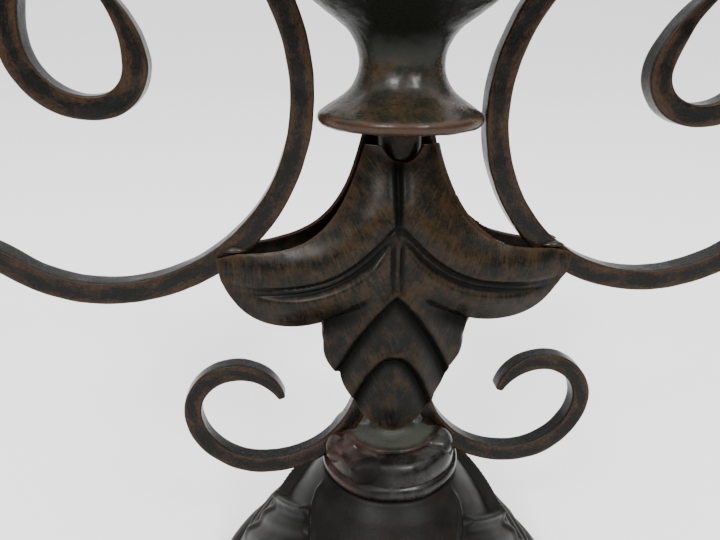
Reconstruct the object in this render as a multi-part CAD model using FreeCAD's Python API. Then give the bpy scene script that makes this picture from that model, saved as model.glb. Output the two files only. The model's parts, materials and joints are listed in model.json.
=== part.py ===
import FreeCAD, Part
import os
from math import acos, atan2, cos, exp, hypot, pi, radians, sin, sqrt, tan

# A three-light table candelabra of bent square bar, with two stamped leaves that
# carry the scroll arms, on a cast dome base. Millimetres, +Z up. The origin is on
# the table, under the middle of the base. The arms lie in the XZ plane.

# Base and collar
base_foot_radius = 75.0
base_foot_height = 6.0
base_foot_round = 8.5
base_ledge = 0.5
base_step_height = 3.5
base_dome_rise = 52.7
base_dome_swell = -0.65
base_wall = 3.5
felt_thickness = 1.5
felt_width = 9.0
felt_inset = 2.0
collar_radius = 26.4
collar_waist = 4.0
collar_height = 16.5
collar_top_radius = 17.5

# Stem, tie rod and fasteners
stem_radius = 6.85
stem_bore = 3.25
stub_length = 5.8
rod_radius = 3.0
thread_clearance = 0.05
rod_spare = 1.5
nut_across_flats = 10.0
nut_height = 5.0
washer_radius = 6.8
washer_thickness = 1.2
base_washer_radius = 14.0
base_washer_thickness = 1.8

# Candle cups
cup_foot_radius = 27.6
cup_foot_rim = 3.8
cup_neck_radius = 14.0
cup_neck_height = 19.6
cup_upper_sweep = 14.5
cup_flare_angle = 53.0
cup_bowl_radius = 36.0
cup_bowl_turn = 12.0
cup_lip_height = 7.0
cup_wall = 2.8
cup_bowl_depth = 18.7
turning_clearance = 0.05
candle_radius = 11.0
candle_clearance = 0.25
candle_depth = 24.0
socket_wall = 1.8
socket_flange = 4.0
socket_flange_thickness = 2.4
socket_lip = 1.6
nut_room = 1.4

# Scroll arms, from the outer end to the tip of the volute
arm_bar = 7.9
arm_edge_round = 0.8
arm_loop_gap = 0.8
arm_low_up = 51.4
arm_sway_start = 36.0
arm_sway_end = 4.0
arm_overhang = 57.2
arm_climb = 35.3
ferrule_height = 8.0
volute_tip_width = 2.2

# The two arms are bent by hand, and not quite alike
left_foot_radius = 52.0
left_loop_radius = 67.5
left_loop_sweep = 132.9
left_crown_radius = 40.2
left_crown_sweep = 141.6
left_curl_radius = 21.7
left_curl_sweep = 95.3
left_hook_radius = 13.4
left_hook_sweep = 83.5
left_tip_radius = 33.2
left_tip_sweep = 43.0
right_foot_radius = 62.0
right_loop_radius = 61.4
right_loop_sweep = 175.0
right_crown_radius = 34.4
right_crown_sweep = 129.4
right_curl_radius = 20.1
right_curl_sweep = 82.8
right_hook_radius = 13.0
right_hook_sweep = 79.6
right_tip_radius = 45.3
right_tip_sweep = 36.0

# Lower scrolls, from the stem to the tip
scroll_bar = 6.6
scroll_edge_round = 0.7
scroll_leg_height = 24.0
scroll_leg_radius = 39.0
scroll_belly_radius = 27.0
scroll_belly_sweep = 77.0
scroll_crown_radius = 16.9
scroll_crown_sweep = 91.0
scroll_tip_radius = 17.8
scroll_tip_sweep = 78.0
scroll_tip_width = 3.0
scroll_drop = 0.9

# Leaf outline: heights are measured up from the leaf's lowest point
leaf_bottom_gap = 5.5
leaf_height = 107.0
leaf_scoop = 5.5
leaf_horn_half = 12.3
leaf_edge_up = 69.3
leaf_edge_run = 10.3
leaf_tip_up = 64.4
leaf_tip_back = 0.9
leaf_tip_width = 7.6
leaf_tip_slant = 1.2
right_belly_up = 44.5
left_belly_up = 42.9
leaf_belly_shift = 1.2
leaf_tier_half = 25.5
leaf_tier_up = 45.5
leaf_tier_drop = 12.0
leaf_notch_half = 20.4
leaf_notch_up = 24.3
leaf_tongue_half = 15.5
leaf_tongue_up = 12.3
leaf_side_bow = 1.2

# Leaf relief
leaf_sheet = 1.2
leaf_gap = 0.12
leaf_bulge = 9.8
leaf_roll = 4.5
leaf_tier_roll = 4.5
leaf_bulge_spread = 1.08
leaf_bulge_power = 2.2
leaf_roll_limit = 1.6
leaf_edge_depth = 3.6
leaf_edge_blend = 1.0
leaf_tip_share = 0.6
leaf_wrap_radius = 16.2
leaf_wrap_start = 14.0
leaf_wrap_end = 8.0
leaf_column_drop = 6.0
leaf_vein_drop = 5.9
leaf_vein_rise = 22.5
leaf_vein_spread = 15.0
leaf_vein_power = 1.3
leaf_vein_depth = 1.1
leaf_vein_half = 1.8
leaf_crease_depth = 1.6
leaf_crease_half = 2.4
leaf_crease_fade = 4.0
leaf_step = 0.9
leaf_apex_up = 59.5
leaf_tier_apex_up = 54.0
leaf_tongue_apex_up = 30.5
leaf_grid = 2.0

# Weld beads
bead_length = 4.2
bead_height = 1.7
bead_back = 6.5
lump_radius = 6.0
lump_inset = 4.0
pool_radius = 15.0
pool_height = 4.5


# Small helpers

def point(x, z, y=0.0):
    return FreeCAD.Vector(x, y, z)


def smooth_step(value, low, high):
    t = min(1.0, max(0.0, (value - low) / (high - low)))
    return t * t * (3.0 - 2.0 * t)


def soft_max(a, b, blend):
    return 0.5 * (a + b + sqrt((a - b) ** 2 + blend ** 2))


def line(a, b):
    return Part.LineSegment(a, b).toShape()


def arc(a, b, c):
    return Part.Arc(a, b, c).toShape()


def turn_arc(centre, radius, start, end):
    spots = []
    for angle in (start, 0.5 * (start + end), end):
        spots.append(point(centre.x + radius * cos(angle), centre.z + radius * sin(angle)))
    return arc(*spots)


def revolve(edges):
    face = Part.Face(Part.Wire(edges))
    return face.revolve(point(0, 0), FreeCAD.Vector(0, 0, 1), 360)


def tube(outer, inner, low, high):
    solid = Part.makeCylinder(outer, high - low, point(0, low))
    if inner:
        solid = solid.cut(Part.makeCylinder(inner, high - low, point(0, low)))
    return solid


def hex_nut(low):
    corner = nut_across_flats / sqrt(3.0)
    ring = [point(corner * cos(k * pi / 3), low, corner * sin(k * pi / 3)) for k in range(7)]
    solid = Part.Face(Part.makePolygon(ring)).extrude(point(0, nut_height))
    return solid.cut(Part.makeCylinder(rod_radius + thread_clearance, nut_height, point(0, low)))


def mirrored(shape):
    return shape.mirror(point(0, 0), FreeCAD.Vector(1, 0, 0))


def to_back(shape):
    return shape.mirror(point(0, 0), FreeCAD.Vector(0, 1, 0))


def save(shape, name):
    shape.exportStep("parts/" + name + ".step")


# Flat bent bars: a centre line of tangent arcs, given as radius, turn and end width.
# A turn to the left is positive. A run with no radius is straight, and its turn is a length.
# A station is a point of the centre line with its heading, half width and rate of widening.

def bar_path(start, heading, runs, width, taper):
    path = []
    x, z = start
    for radius, turn, end_width in runs:
        length = radius * abs(radians(turn)) if radius else turn
        growth = 0.5 * (end_width - width)
        steps = 6 if growth else 2
        stations = []
        for k in range(steps + 1):
            share = k / steps
            if radius:
                side = 1.0 if turn > 0 else -1.0
                angle = radians(heading + turn * share)
                px = x + side * radius * (sin(angle) - sin(radians(heading)))
                pz = z - side * radius * (cos(angle) - cos(radians(heading)))
            else:
                angle = radians(heading)
                px = x + length * share * cos(angle)
                pz = z + length * share * sin(angle)
            half = 0.5 * width + growth * share ** taper
            rate = taper * growth * share ** (taper - 1.0) / length
            stations.append((px, pz, angle, half, rate))
        path.append(stations)
        x, z = px, pz
        heading += turn if radius else 0.0
        width = end_width
    return path


def side_point(station, side, front):
    px, pz, angle, half, rate = station
    return point(px - side * half * sin(angle), pz + side * half * cos(angle), front)


def side_heading(station, side):
    px, pz, angle, half, rate = station
    return point(cos(angle) - side * rate * sin(angle), sin(angle) + side * rate * cos(angle))


def side_edges(path, side, front):
    edges = []
    for stations in path:
        spots = [side_point(station, side, front) for station in stations]
        if len(spots) > 3:
            curve = Part.BSplineCurve()
            curve.interpolate(
                Points=spots,
                InitialTangent=side_heading(stations[0], side),
                FinalTangent=side_heading(stations[-1], side),
            )
            edges.append(curve.toShape())
        elif stations[0][2] == stations[-1][2]:
            edges.append(line(spots[0], spots[-1]))
        else:
            edges.append(arc(*spots))
    return edges


def bent_bar(path, depth, edge_round):
    front = -0.5 * depth
    first, last = path[0][0], path[-1][-1]
    px, pz, angle, half, rate = last
    lean = atan2(-rate, 1.0)
    reach = half * (1.0 - sin(lean)) / cos(lean)
    nose = point(px + reach * cos(angle), pz + reach * sin(angle), front)
    cap = arc(side_point(last, 1, front), nose, side_point(last, -1, front))
    root = line(side_point(first, 1, front), side_point(first, -1, front))
    edges = side_edges(path, 1, front) + side_edges(path, -1, front) + [cap, root]
    outline = Part.Wire(Part.__sortEdges__(edges))
    solid = Part.Face(outline).extrude(FreeCAD.Vector(0, depth, 0))
    rounded = []
    for edge in solid.Edges:
        middle = edge.CenterOfMass
        at_root = hypot(middle.x - first[0], middle.z - first[1]) < 1e-3
        if edge.BoundBox.YLength < 1e-6 and not at_root:
            rounded.append(edge)
    return solid.makeFillet(edge_round, rounded)


# Heights and places that follow from the sizes

base_step_radius = base_foot_radius - base_foot_round - base_ledge
foot_top = felt_thickness + base_foot_height
dome_low = foot_top + base_foot_round + base_step_height
collar_low = dome_low + base_dome_rise
base_ceiling = collar_low - base_wall
collar_top = collar_low + collar_height
leaf_low = collar_top + leaf_bottom_gap
leaf_high = leaf_low + leaf_height
cup_low = leaf_high + stub_length
rod_hole = rod_radius + thread_clearance

arm_half = 0.5 * arm_bar
arm_low = leaf_low + arm_low_up + arm_half
leaf_tip_z = leaf_low + leaf_tip_up


def loop_centre(loop_radius):
    return cup_foot_radius + arm_loop_gap + arm_half + loop_radius


def sway_start(loop_radius, foot_radius):
    lean = radians(arm_sway_start)
    x = loop_centre(loop_radius) + foot_radius * sin(lean)
    return x, arm_low + foot_radius * (1.0 - cos(lean))


def arm_at_tip(loop_radius):
    drop = arm_low + loop_radius - leaf_tip_z
    return loop_centre(loop_radius) - sqrt(loop_radius ** 2 - drop ** 2)


anchor_x, anchor_z = sway_start(right_loop_radius, right_foot_radius)
cup_x = anchor_x + arm_overhang
arm_end = anchor_z + arm_climb
outer_cup_low = arm_end + ferrule_height
leaf_tip_x = 0.5 * (arm_at_tip(left_loop_radius) + arm_at_tip(right_loop_radius)) - leaf_tip_back


# Base: a hollow cast dome on a round foot, with a felt ring under it

def dome_arc(offset):
    top = point(collar_radius - offset, collar_low - offset)
    low = point(base_step_radius - offset, dome_low - offset)
    chord = low - top
    middle = (top + low) * 0.5
    across = FreeCAD.Vector(-chord.z, 0, chord.x).normalize()
    return top, middle + across * base_dome_swell, low


def make_base():
    foot_in = base_foot_radius - base_foot_round
    top, middle, low = dome_arc(0.0)
    shoulder = point(base_step_radius, foot_top + base_foot_round)
    crown = point(foot_in, foot_top + base_foot_round)
    side = point(base_foot_radius, foot_top)
    toe = point(base_foot_radius, felt_thickness)
    in_top, in_middle, in_low = dome_arc(base_wall)
    in_toe = point(base_step_radius - base_wall, felt_thickness)
    ceiling = point(rod_hole, base_ceiling)
    roof = point(rod_hole, collar_low)
    foot_round = turn_arc(point(foot_in, foot_top), base_foot_round, 0.5 * pi, 0.0)
    outline = [line(roof, top), arc(top, middle, low), line(low, shoulder), line(shoulder, crown)]
    outline += [foot_round, line(side, toe), line(toe, in_toe), line(in_toe, in_low)]
    outline += [arc(in_low, in_middle, in_top), line(in_top, ceiling), line(ceiling, roof)]
    return revolve(outline)


def make_felt():
    outer = base_foot_radius - felt_inset
    return tube(outer, outer - felt_width, 0.0, felt_thickness)


# Collar: a bell that covers the top of the dome and carries the stem

def make_collar():
    lean = collar_radius - collar_top_radius
    climb = collar_height - collar_waist
    seat = point(collar_radius, collar_low)
    waist = point(collar_radius, collar_low + collar_waist)
    shoulder = point(collar_top_radius + 0.72 * lean, collar_low + collar_waist + 0.62 * climb)
    top = point(collar_top_radius, collar_top)
    inner_top = point(rod_hole, collar_top)
    inner_low = point(rod_hole, collar_low)
    outline = [line(inner_low, seat), line(seat, waist), arc(waist, shoulder, top)]
    outline += [line(top, inner_top), line(inner_top, inner_low)]
    return revolve(outline)


# Lower scrolls: they run down the stem, over the collar, and curl up outside it

def make_lower_scroll(collar):
    leg_x = stem_radius + thread_clearance + 0.5 * scroll_bar
    belly_z = collar_low - scroll_drop + 0.5 * scroll_bar
    leg_z = belly_z + scroll_leg_radius + scroll_leg_height
    runs = [
        (0.0, scroll_leg_height, scroll_bar),
        (scroll_leg_radius, 90.0, scroll_bar),
        (scroll_belly_radius, scroll_belly_sweep, scroll_bar),
        (scroll_crown_radius, scroll_crown_sweep, scroll_bar),
        (scroll_tip_radius, scroll_tip_sweep, scroll_tip_width),
    ]
    path = bar_path((leg_x, leg_z), -90.0, runs, scroll_bar, taper=2.0)
    return bent_bar(path, scroll_bar, scroll_edge_round).cut(collar)


# Scroll arms: an upright outer end, a swayed run, the big loop and its volute

def end_bends(loop_radius, foot_radius):
    start, end = radians(arm_sway_start), radians(arm_sway_end)
    x, z = sway_start(loop_radius, foot_radius)
    reach, climb = cup_x - x, arm_end - z
    a, b = sin(start) - sin(end), 1.0 - sin(end)
    c, d = cos(end) - cos(start), cos(end)
    sway = (reach * d - b * climb) / (a * d - b * c)
    rise = (a * climb - c * reach) / (a * d - b * c)
    return rise, sway


def make_arm(foot_radius, bends, tip_radius, tip_sweep):
    rise, sway = end_bends(bends[0][0], foot_radius)
    runs = [
        (rise, -(90.0 - arm_sway_end), arm_bar),
        (sway, arm_sway_start - arm_sway_end, arm_bar),
        (foot_radius, -arm_sway_start, arm_bar),
    ]
    runs += [(radius, -sweep, arm_bar) for radius, sweep in bends]
    runs.append((tip_radius, -tip_sweep, volute_tip_width))
    path = bar_path((cup_x, arm_end), -90.0, runs, arm_bar, taper=1.2)
    return bent_bar(path, arm_bar, arm_edge_round)


# Candle cup: a spool foot, a flared bowl, and a socket with room for a nut in its floor

cup_lean = radians(cup_flare_angle)
cup_flare_x = cup_neck_radius + cup_upper_sweep * (1.0 - cos(cup_lean))
cup_flare_z = cup_neck_height + cup_upper_sweep * sin(cup_lean)
cup_turn_x = cup_bowl_radius - cup_bowl_turn * (1.0 - cos(cup_lean))
cup_turn_z = cup_flare_z + (cup_turn_x - cup_flare_x) / tan(cup_lean)
cup_wall_z = cup_turn_z + cup_bowl_turn * sin(cup_lean)
cup_lip_z = cup_wall_z + cup_lip_height
cup_floor_z = cup_lip_z - cup_bowl_depth


def make_cup():
    bore = rod_radius + turning_clearance
    rim = 0.5 * cup_foot_rim
    foot_low = point(cup_foot_radius - rim, 0.0)
    foot_side = point(cup_foot_radius, rim)
    foot_high = point(cup_foot_radius - 0.6 * rim, 1.8 * rim)
    cove_radius = 0.8 * (cup_neck_height - foot_high.z)
    cove = point(cup_neck_radius + cove_radius, cup_neck_height)
    toward = foot_high - cove
    cove_end = atan2(toward.z, toward.x) - acos(cove_radius / toward.Length) + 2.0 * pi
    cove_low = point(cove.x + cove_radius * cos(cove_end), cove.z + cove_radius * sin(cove_end))
    sweep = point(cup_neck_radius + cup_upper_sweep, cup_neck_height)
    flare = point(cup_flare_x, cup_flare_z)
    turn = point(cup_turn_x, cup_turn_z)
    bowl = point(cup_bowl_radius - cup_bowl_turn, cup_wall_z)
    lip = point(cup_bowl_radius, cup_lip_z)
    lip_in = point(cup_bowl_radius - cup_wall, cup_lip_z)
    lip_middle = point(cup_bowl_radius - 0.5 * cup_wall, cup_lip_z)
    inner = cup_bowl_turn - cup_wall
    turn_in = point(bowl.x + inner * cos(cup_lean), bowl.z - inner * sin(cup_lean))
    floor = point(turn_in.x - (turn_in.z - cup_floor_z) * tan(cup_lean), cup_floor_z)
    hole_top = point(bore, cup_floor_z)
    hole_low = point(bore, 0.0)
    outline = [line(hole_low, foot_low), arc(foot_low, foot_side, foot_high), line(foot_high, cove_low)]
    outline += [turn_arc(cove, cove_radius, cove_end, pi)]
    outline += [turn_arc(sweep, cup_upper_sweep, pi, pi - cup_lean)]
    outline += [line(flare, turn), turn_arc(bowl, cup_bowl_turn, -cup_lean, 0.0)]
    outline += [line(point(cup_bowl_radius, cup_wall_z), lip)]
    outline += [turn_arc(lip_middle, 0.5 * cup_wall, 0.0, pi)]
    outline += [line(lip_in, point(bowl.x + inner, bowl.z)), turn_arc(bowl, inner, 0.0, -cup_lean)]
    outline += [line(turn_in, floor), line(floor, hole_top), line(hole_top, hole_low)]
    return revolve(outline)


socket_bore = candle_radius + candle_clearance
socket_outer = socket_bore + socket_wall
socket_floor = cup_floor_z + socket_flange_thickness
nut_low = socket_floor + washer_thickness
candle_seat = nut_low + nut_height + rod_spare
socket_top = candle_seat + candle_depth


def make_socket():
    nut_radius = max(washer_radius, nut_across_flats / sqrt(3.0)) + nut_room
    hole = rod_radius + turning_clearance
    solid = tube(socket_outer, 0.0, cup_floor_z, socket_top)
    solid = solid.fuse(tube(socket_outer + socket_flange, 0.0, cup_floor_z, socket_floor))
    solid = solid.fuse(tube(socket_outer + socket_lip, 0.0, socket_top - 2.0 * socket_lip, socket_top))
    solid = solid.cut(tube(hole, 0.0, cup_floor_z, socket_floor))
    solid = solid.cut(tube(nut_radius, 0.0, socket_floor, candle_seat))
    solid = solid.cut(tube(socket_bore, 0.0, candle_seat, socket_top))
    return solid.removeSplitter()


# Leaves: pressed sheet, bulged outwards, whose tips lie on the faces of the arms

def leaf_edge_height(x):
    rise = leaf_height - leaf_edge_up
    return leaf_low + leaf_edge_up + rise * exp((leaf_horn_half - x) / leaf_edge_run)


def leaf_vein_height(x):
    return leaf_tip_z - leaf_vein_drop + leaf_vein_rise * exp(-(x / leaf_vein_spread) ** leaf_vein_power)


# Lower borders of the lobe, of the second tier and of the third tier, at a distance x from the middle

def lobe_border(x):
    corner = leaf_low + leaf_tier_up
    return corner + (leaf_apex_up - leaf_tier_up) * max(0.0, 1.0 - x / leaf_tier_half)


def tier_border(x):
    share = x / leaf_notch_half
    drop = leaf_tier_apex_up - leaf_notch_up
    return leaf_low + leaf_tier_apex_up - drop * (0.53 * share + 0.47 * share ** 2)


def tongue_border(x):
    drop = leaf_tongue_apex_up - leaf_tongue_up
    return leaf_low + leaf_tongue_apex_up - drop * (x / (0.9 * leaf_tongue_half)) ** 2


def lobe_depth(x, z, tip_depth):
    share = min(1.0, x / leaf_tip_x)
    flat = 1.0 - share ** 2
    vein_z = leaf_vein_height(x)
    depth = tip_depth + leaf_bulge * max(0.0, 1.0 - (leaf_bulge_spread * share) ** leaf_bulge_power)
    if z > vein_z:
        across = (z - vein_z) / (leaf_edge_height(x) - vein_z)
    else:
        across = (vein_z - z) / (vein_z - lobe_border(x)) * smooth_step(x, 0.0, leaf_tongue_half)
    depth -= leaf_roll * flat * min(across, leaf_roll_limit) ** 2
    depth -= leaf_vein_depth * flat * exp(-((z - vein_z) / leaf_vein_half) ** 2)
    crease = leaf_crease_depth * exp(-(x / leaf_crease_half) ** 2)
    return depth - crease * smooth_step(z, vein_z - leaf_crease_fade, vein_z + leaf_crease_fade)


def leaf_depth(x, z):
    x = abs(x)
    tip_depth = arm_half + leaf_gap + leaf_sheet
    stem_depth = stem_radius + leaf_gap + leaf_sheet
    wrap = stem_depth - x * x / (2.0 * leaf_wrap_radius)
    upper = smooth_step(z, leaf_tip_z + leaf_wrap_start, leaf_high - leaf_wrap_end)
    depth = lobe_depth(x, z, tip_depth) * (1.0 - upper) + wrap * upper
    belly = tip_depth + leaf_bulge - stem_depth - leaf_step
    column = stem_depth + belly * smooth_step(z, leaf_low - leaf_column_drop, leaf_low + leaf_apex_up)
    tier = column - leaf_tier_roll * (x / leaf_tier_half) ** 2
    lobe_share = smooth_step(z, lobe_border(x) - leaf_grid, lobe_border(x) + leaf_grid)
    depth = depth * lobe_share + tier * (1.0 - lobe_share)
    for border in (tier_border(x), tongue_border(x)):
        depth -= leaf_step * (1.0 - smooth_step(z, border - leaf_grid, border + leaf_grid))
    depth = soft_max(depth, leaf_edge_depth, leaf_edge_blend)
    if x > leaf_tip_share * leaf_tip_x:
        depth = max(depth, tip_depth)
    if x < stem_radius:
        depth = max(depth, sqrt(stem_radius ** 2 - x * x) + leaf_gap + leaf_sheet)
    return depth


def leaf_side(belly_up):
    tip_high = point(leaf_tip_x, leaf_tip_z + 0.5 * leaf_tip_width)
    tip_low = point(leaf_tip_x - leaf_tip_slant, leaf_tip_z - 0.5 * leaf_tip_width)
    edge_points = []
    steps = 7
    for k in range(steps):
        x = leaf_horn_half + (leaf_tip_x - leaf_tip_width - leaf_horn_half) * k / (steps - 1)
        edge_points.append(point(x, leaf_edge_height(x)))
    edge_points.append(tip_high)
    upper = Part.BSplineCurve()
    upper.interpolate(edge_points)
    corner = point(leaf_tier_half, leaf_low + leaf_tier_up)
    belly = point(0.5 * (leaf_tip_x + leaf_tier_half) - leaf_belly_shift, leaf_low + belly_up)
    tier_low = point(leaf_tier_half, leaf_low + leaf_tier_up - leaf_tier_drop)
    notch = point(leaf_notch_half, leaf_low + leaf_notch_up)
    tier_bend = point(leaf_tier_half - leaf_side_bow, 0.5 * (tier_low.z + notch.z))
    tongue = point(leaf_tongue_half, leaf_low + leaf_tongue_up)
    side_bend = point(leaf_notch_half - leaf_side_bow, 0.5 * (notch.z + tongue.z))
    chin = point(0.58 * leaf_tongue_half, leaf_low + 0.37 * leaf_tongue_up)
    bottom = point(0.0, leaf_low)
    lobe = [upper.toShape(), line(tip_high, tip_low), arc(tip_low, belly, corner)]
    tier = [line(corner, tier_low), arc(tier_low, tier_bend, notch)]
    return lobe + tier + [arc(notch, side_bend, tongue), arc(tongue, chin, bottom)]


def leaf_outline():
    right = leaf_side(right_belly_up)
    left = [mirrored(edge) for edge in leaf_side(left_belly_up)]
    horn = point(leaf_horn_half, leaf_high)
    scoop = arc(horn, point(0.0, leaf_high - leaf_scoop), point(-leaf_horn_half, leaf_high))
    return Part.Wire(Part.__sortEdges__(right + left + [scoop]))


def make_leaf():
    reach = leaf_tip_x + leaf_grid
    rise = leaf_height + 2.0 * leaf_grid
    columns = 2 * int(reach / leaf_grid) + 1
    rows = int(rise / leaf_grid) + 2
    grid = []
    for i in range(columns):
        x = -reach + 2.0 * reach * i / (columns - 1)
        heights = [leaf_low - leaf_grid + rise * j / (rows - 1) for j in range(rows)]
        grid.append([point(x, z, -leaf_depth(x, z)) for z in heights])
    surface = Part.BSplineSurface()
    surface.interpolate(grid)
    slab = surface.toShape().extrude(FreeCAD.Vector(0, leaf_sheet, 0))
    blank = Part.Face(leaf_outline())
    room = 4.0 * (leaf_bulge + arm_bar + stem_radius)
    blank.translate(FreeCAD.Vector(0, -room, 0))
    prism = blank.extrude(FreeCAD.Vector(0, 2.0 * room, 0))
    return slab.common(prism).Solids[0]


# Weld beads: at the leaf tips, and round the foot of the stem

def make_leaf_beads(right_arm, left_arm):
    x = leaf_tip_x - bead_back
    z = leaf_edge_height(x - bead_length) + leaf_gap
    ends = [point(-bead_length, 0), point(0, bead_height), point(bead_length, 0)]
    lens = Part.Face(Part.Wire([arc(*ends), line(ends[2], ends[0])]))
    spindle = lens.revolve(point(0, 0), FreeCAD.Vector(1, 0, 0), 90)
    beads = []
    for side, arm in ((1.0, right_arm), (-1.0, left_arm)):
        bead = spindle.translated(point(side * x, z, -arm_half)).cut(arm)
        beads += [bead, to_back(bead)]
    return Part.makeCompound(beads)


def make_collar_beads(collar):
    lump = Part.makeSphere(lump_radius, point(collar_radius - lump_inset, collar_top - lump_radius))
    foot = point(stem_radius, collar_top)
    rim = point(pool_radius, collar_top)
    peak = point(stem_radius, collar_top + pool_height)
    dish = point(0.5 * (stem_radius + pool_radius), collar_top + 0.4 * pool_height)
    pool = revolve([line(foot, rim), arc(rim, dish, peak), line(peak, foot)])
    beads = lump.fuse(mirrored(lump)).fuse(pool).cut(collar)
    bars = Part.makeBox(4.0 * collar_radius, scroll_bar, 4.0 * collar_height)
    bars.translate(point(-2.0 * collar_radius, collar_low, -0.5 * scroll_bar))
    return Part.makeCompound(beads.cut(bars).Solids)


# Build and save

os.makedirs("parts", exist_ok=True)

base_washer_low = base_ceiling - base_washer_thickness
base_nut_low = base_washer_low - nut_height
rod_low = base_nut_low - rod_spare
rod_high = nut_low + nut_height + 0.5 * rod_spare

collar = make_collar()
stem = tube(stem_radius, stem_bore, collar_top, cup_low)
save(make_felt(), "base_felt_ring")
save(make_base(), "base_dome")
save(tube(base_washer_radius, rod_hole, base_washer_low, base_ceiling), "base_washer")
save(hex_nut(base_nut_low), "base_nut")
save(collar, "base_collar")
save(stem, "stem_tube")
save(tube(rod_radius, 0.0, rod_low, cup_low + rod_high), "tie_rod")

right_scroll = make_lower_scroll(collar)
left_scroll = mirrored(right_scroll)
save(right_scroll, "right_lower_scroll")
save(left_scroll, "left_lower_scroll")
save(make_collar_beads(collar), "collar_weld_beads")

right_bends = [
    (right_loop_radius, right_loop_sweep),
    (right_crown_radius, right_crown_sweep),
    (right_curl_radius, right_curl_sweep),
    (right_hook_radius, right_hook_sweep),
]
left_bends = [
    (left_loop_radius, left_loop_sweep),
    (left_crown_radius, left_crown_sweep),
    (left_curl_radius, left_curl_sweep),
    (left_hook_radius, left_hook_sweep),
]
right_arm = make_arm(right_foot_radius, right_bends, right_tip_radius, right_tip_sweep)
left_arm = mirrored(make_arm(left_foot_radius, left_bends, left_tip_radius, left_tip_sweep))
save(right_arm, "right_scroll_arm")
save(left_arm, "left_scroll_arm")

leaf = make_leaf()
save(leaf, "front_leaf")
save(to_back(leaf), "back_leaf")
save(make_leaf_beads(right_arm, left_arm), "leaf_weld_beads")

cup = make_cup()
socket = make_socket()
washer = tube(washer_radius, rod_hole, socket_floor, nut_low)
nut = hex_nut(nut_low)
ferrule = tube(stem_radius, rod_hole, -ferrule_height, 0.0)
stud = tube(rod_radius, 0.0, -ferrule_height, rod_high)

left_seat = point(-cup_x, outer_cup_low)
right_seat = point(cup_x, outer_cup_low)
seats = {"left": left_seat, "centre": point(0, cup_low), "right": right_seat}
for side, seat in seats.items():
    save(cup.translated(seat), side + "_cup")
    save(socket.translated(seat), side + "_candle_socket")
    save(washer.translated(seat), side + "_cup_washer")
    save(nut.translated(seat), side + "_cup_nut")
for side in ("left", "right"):
    save(ferrule.translated(seats[side]), side + "_cup_ferrule")
    save(stud.translated(seats[side]), side + "_cup_stud")

print("collar at %.1f, leaf at %.1f to %.1f, cup at %.1f" % (collar_low, leaf_low, leaf_high, cup_low))
print("outer cups at x %.1f, z %.1f; leaf tips at x %.1f" % (cup_x, outer_cup_low, leaf_tip_x))
print("width %.1f, height %.1f" % (2.0 * (cup_x + cup_bowl_radius), cup_low + socket_top))
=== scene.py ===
import json
import math

import bmesh
import bpy
import numpy as np
from mathutils import Matrix, Vector


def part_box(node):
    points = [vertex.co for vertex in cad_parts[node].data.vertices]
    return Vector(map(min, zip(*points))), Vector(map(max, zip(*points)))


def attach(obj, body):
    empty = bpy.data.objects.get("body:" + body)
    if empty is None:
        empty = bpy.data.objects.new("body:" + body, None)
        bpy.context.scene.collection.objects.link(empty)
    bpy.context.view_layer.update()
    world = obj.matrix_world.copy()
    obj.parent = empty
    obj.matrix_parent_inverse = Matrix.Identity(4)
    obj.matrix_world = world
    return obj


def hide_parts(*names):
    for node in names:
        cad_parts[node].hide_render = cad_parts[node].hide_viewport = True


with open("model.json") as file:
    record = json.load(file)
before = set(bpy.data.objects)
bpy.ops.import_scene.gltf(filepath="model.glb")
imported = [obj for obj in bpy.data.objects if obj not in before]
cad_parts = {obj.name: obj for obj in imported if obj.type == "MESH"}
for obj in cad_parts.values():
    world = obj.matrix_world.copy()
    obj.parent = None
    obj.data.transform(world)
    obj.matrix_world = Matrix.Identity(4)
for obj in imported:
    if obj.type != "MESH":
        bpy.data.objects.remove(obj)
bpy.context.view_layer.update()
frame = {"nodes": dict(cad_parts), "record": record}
mm = 0.001
print("frame loaded,", len(frame["nodes"]), "nodes")


# Hands: small things that every piece needs

def clearSelection():
    if bpy.context.object and bpy.context.object.mode != "OBJECT":
        bpy.ops.object.mode_set(mode="OBJECT")
    bpy.ops.object.select_all(action="DESELECT")


def pickOnly(obj):
    clearSelection()
    obj.select_set(True)
    bpy.context.view_layer.objects.active = obj


def editAll(obj):
    pickOnly(obj)
    bpy.ops.object.mode_set(mode="EDIT")
    bpy.ops.mesh.select_all(action="SELECT")


def applyModifier(obj, kind, name, **values):
    made = obj.modifiers.new(name, kind)
    for key, value in values.items():
        setattr(made, key, value)
    pickOnly(obj)
    bpy.ops.object.modifier_apply(modifier=name)


def hammer(obj, name, size, strength):
    lumps = bpy.data.textures.new(name, "CLOUDS")   # soft unevenness of thick paint and bent metal
    lumps.noise_scale = size
    lumps.noise_depth = 1
    applyModifier(obj, "DISPLACE", name, texture=lumps, texture_coords="LOCAL", strength=strength,
                  mid_level=0.5)


def mendNormals(obj, mergeBelow):
    editAll(obj)
    bpy.ops.mesh.remove_doubles(threshold=mergeBelow)
    bpy.ops.mesh.normals_make_consistent(inside=False)
    bpy.ops.object.mode_set(mode="OBJECT")


def finishPiece(obj, name, material, body, slot, *nodes, smoothAngle=50.0):
    obj.name = name
    obj.data.name = name
    obj.data.materials.clear()
    obj.data.materials.append(material)
    pickOnly(obj)
    bpy.ops.object.shade_smooth_by_angle(angle=math.radians(smoothAngle))
    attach(obj, body)
    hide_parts(*nodes)
    print("piece", name, len(obj.data.polygons), "faces")


def setPoints(obj, attribute, values):
    layer = obj.data.attributes.get(attribute) or obj.data.attributes.new(attribute, "FLOAT", "POINT")
    layer.data.foreach_set("value", np.asarray(values, np.float32))


def places(obj):
    spots = np.zeros(len(obj.data.vertices) * 3, np.float32)
    obj.data.vertices.foreach_get("co", spots)
    return spots.reshape(-1, 3).astype(float)


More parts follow.
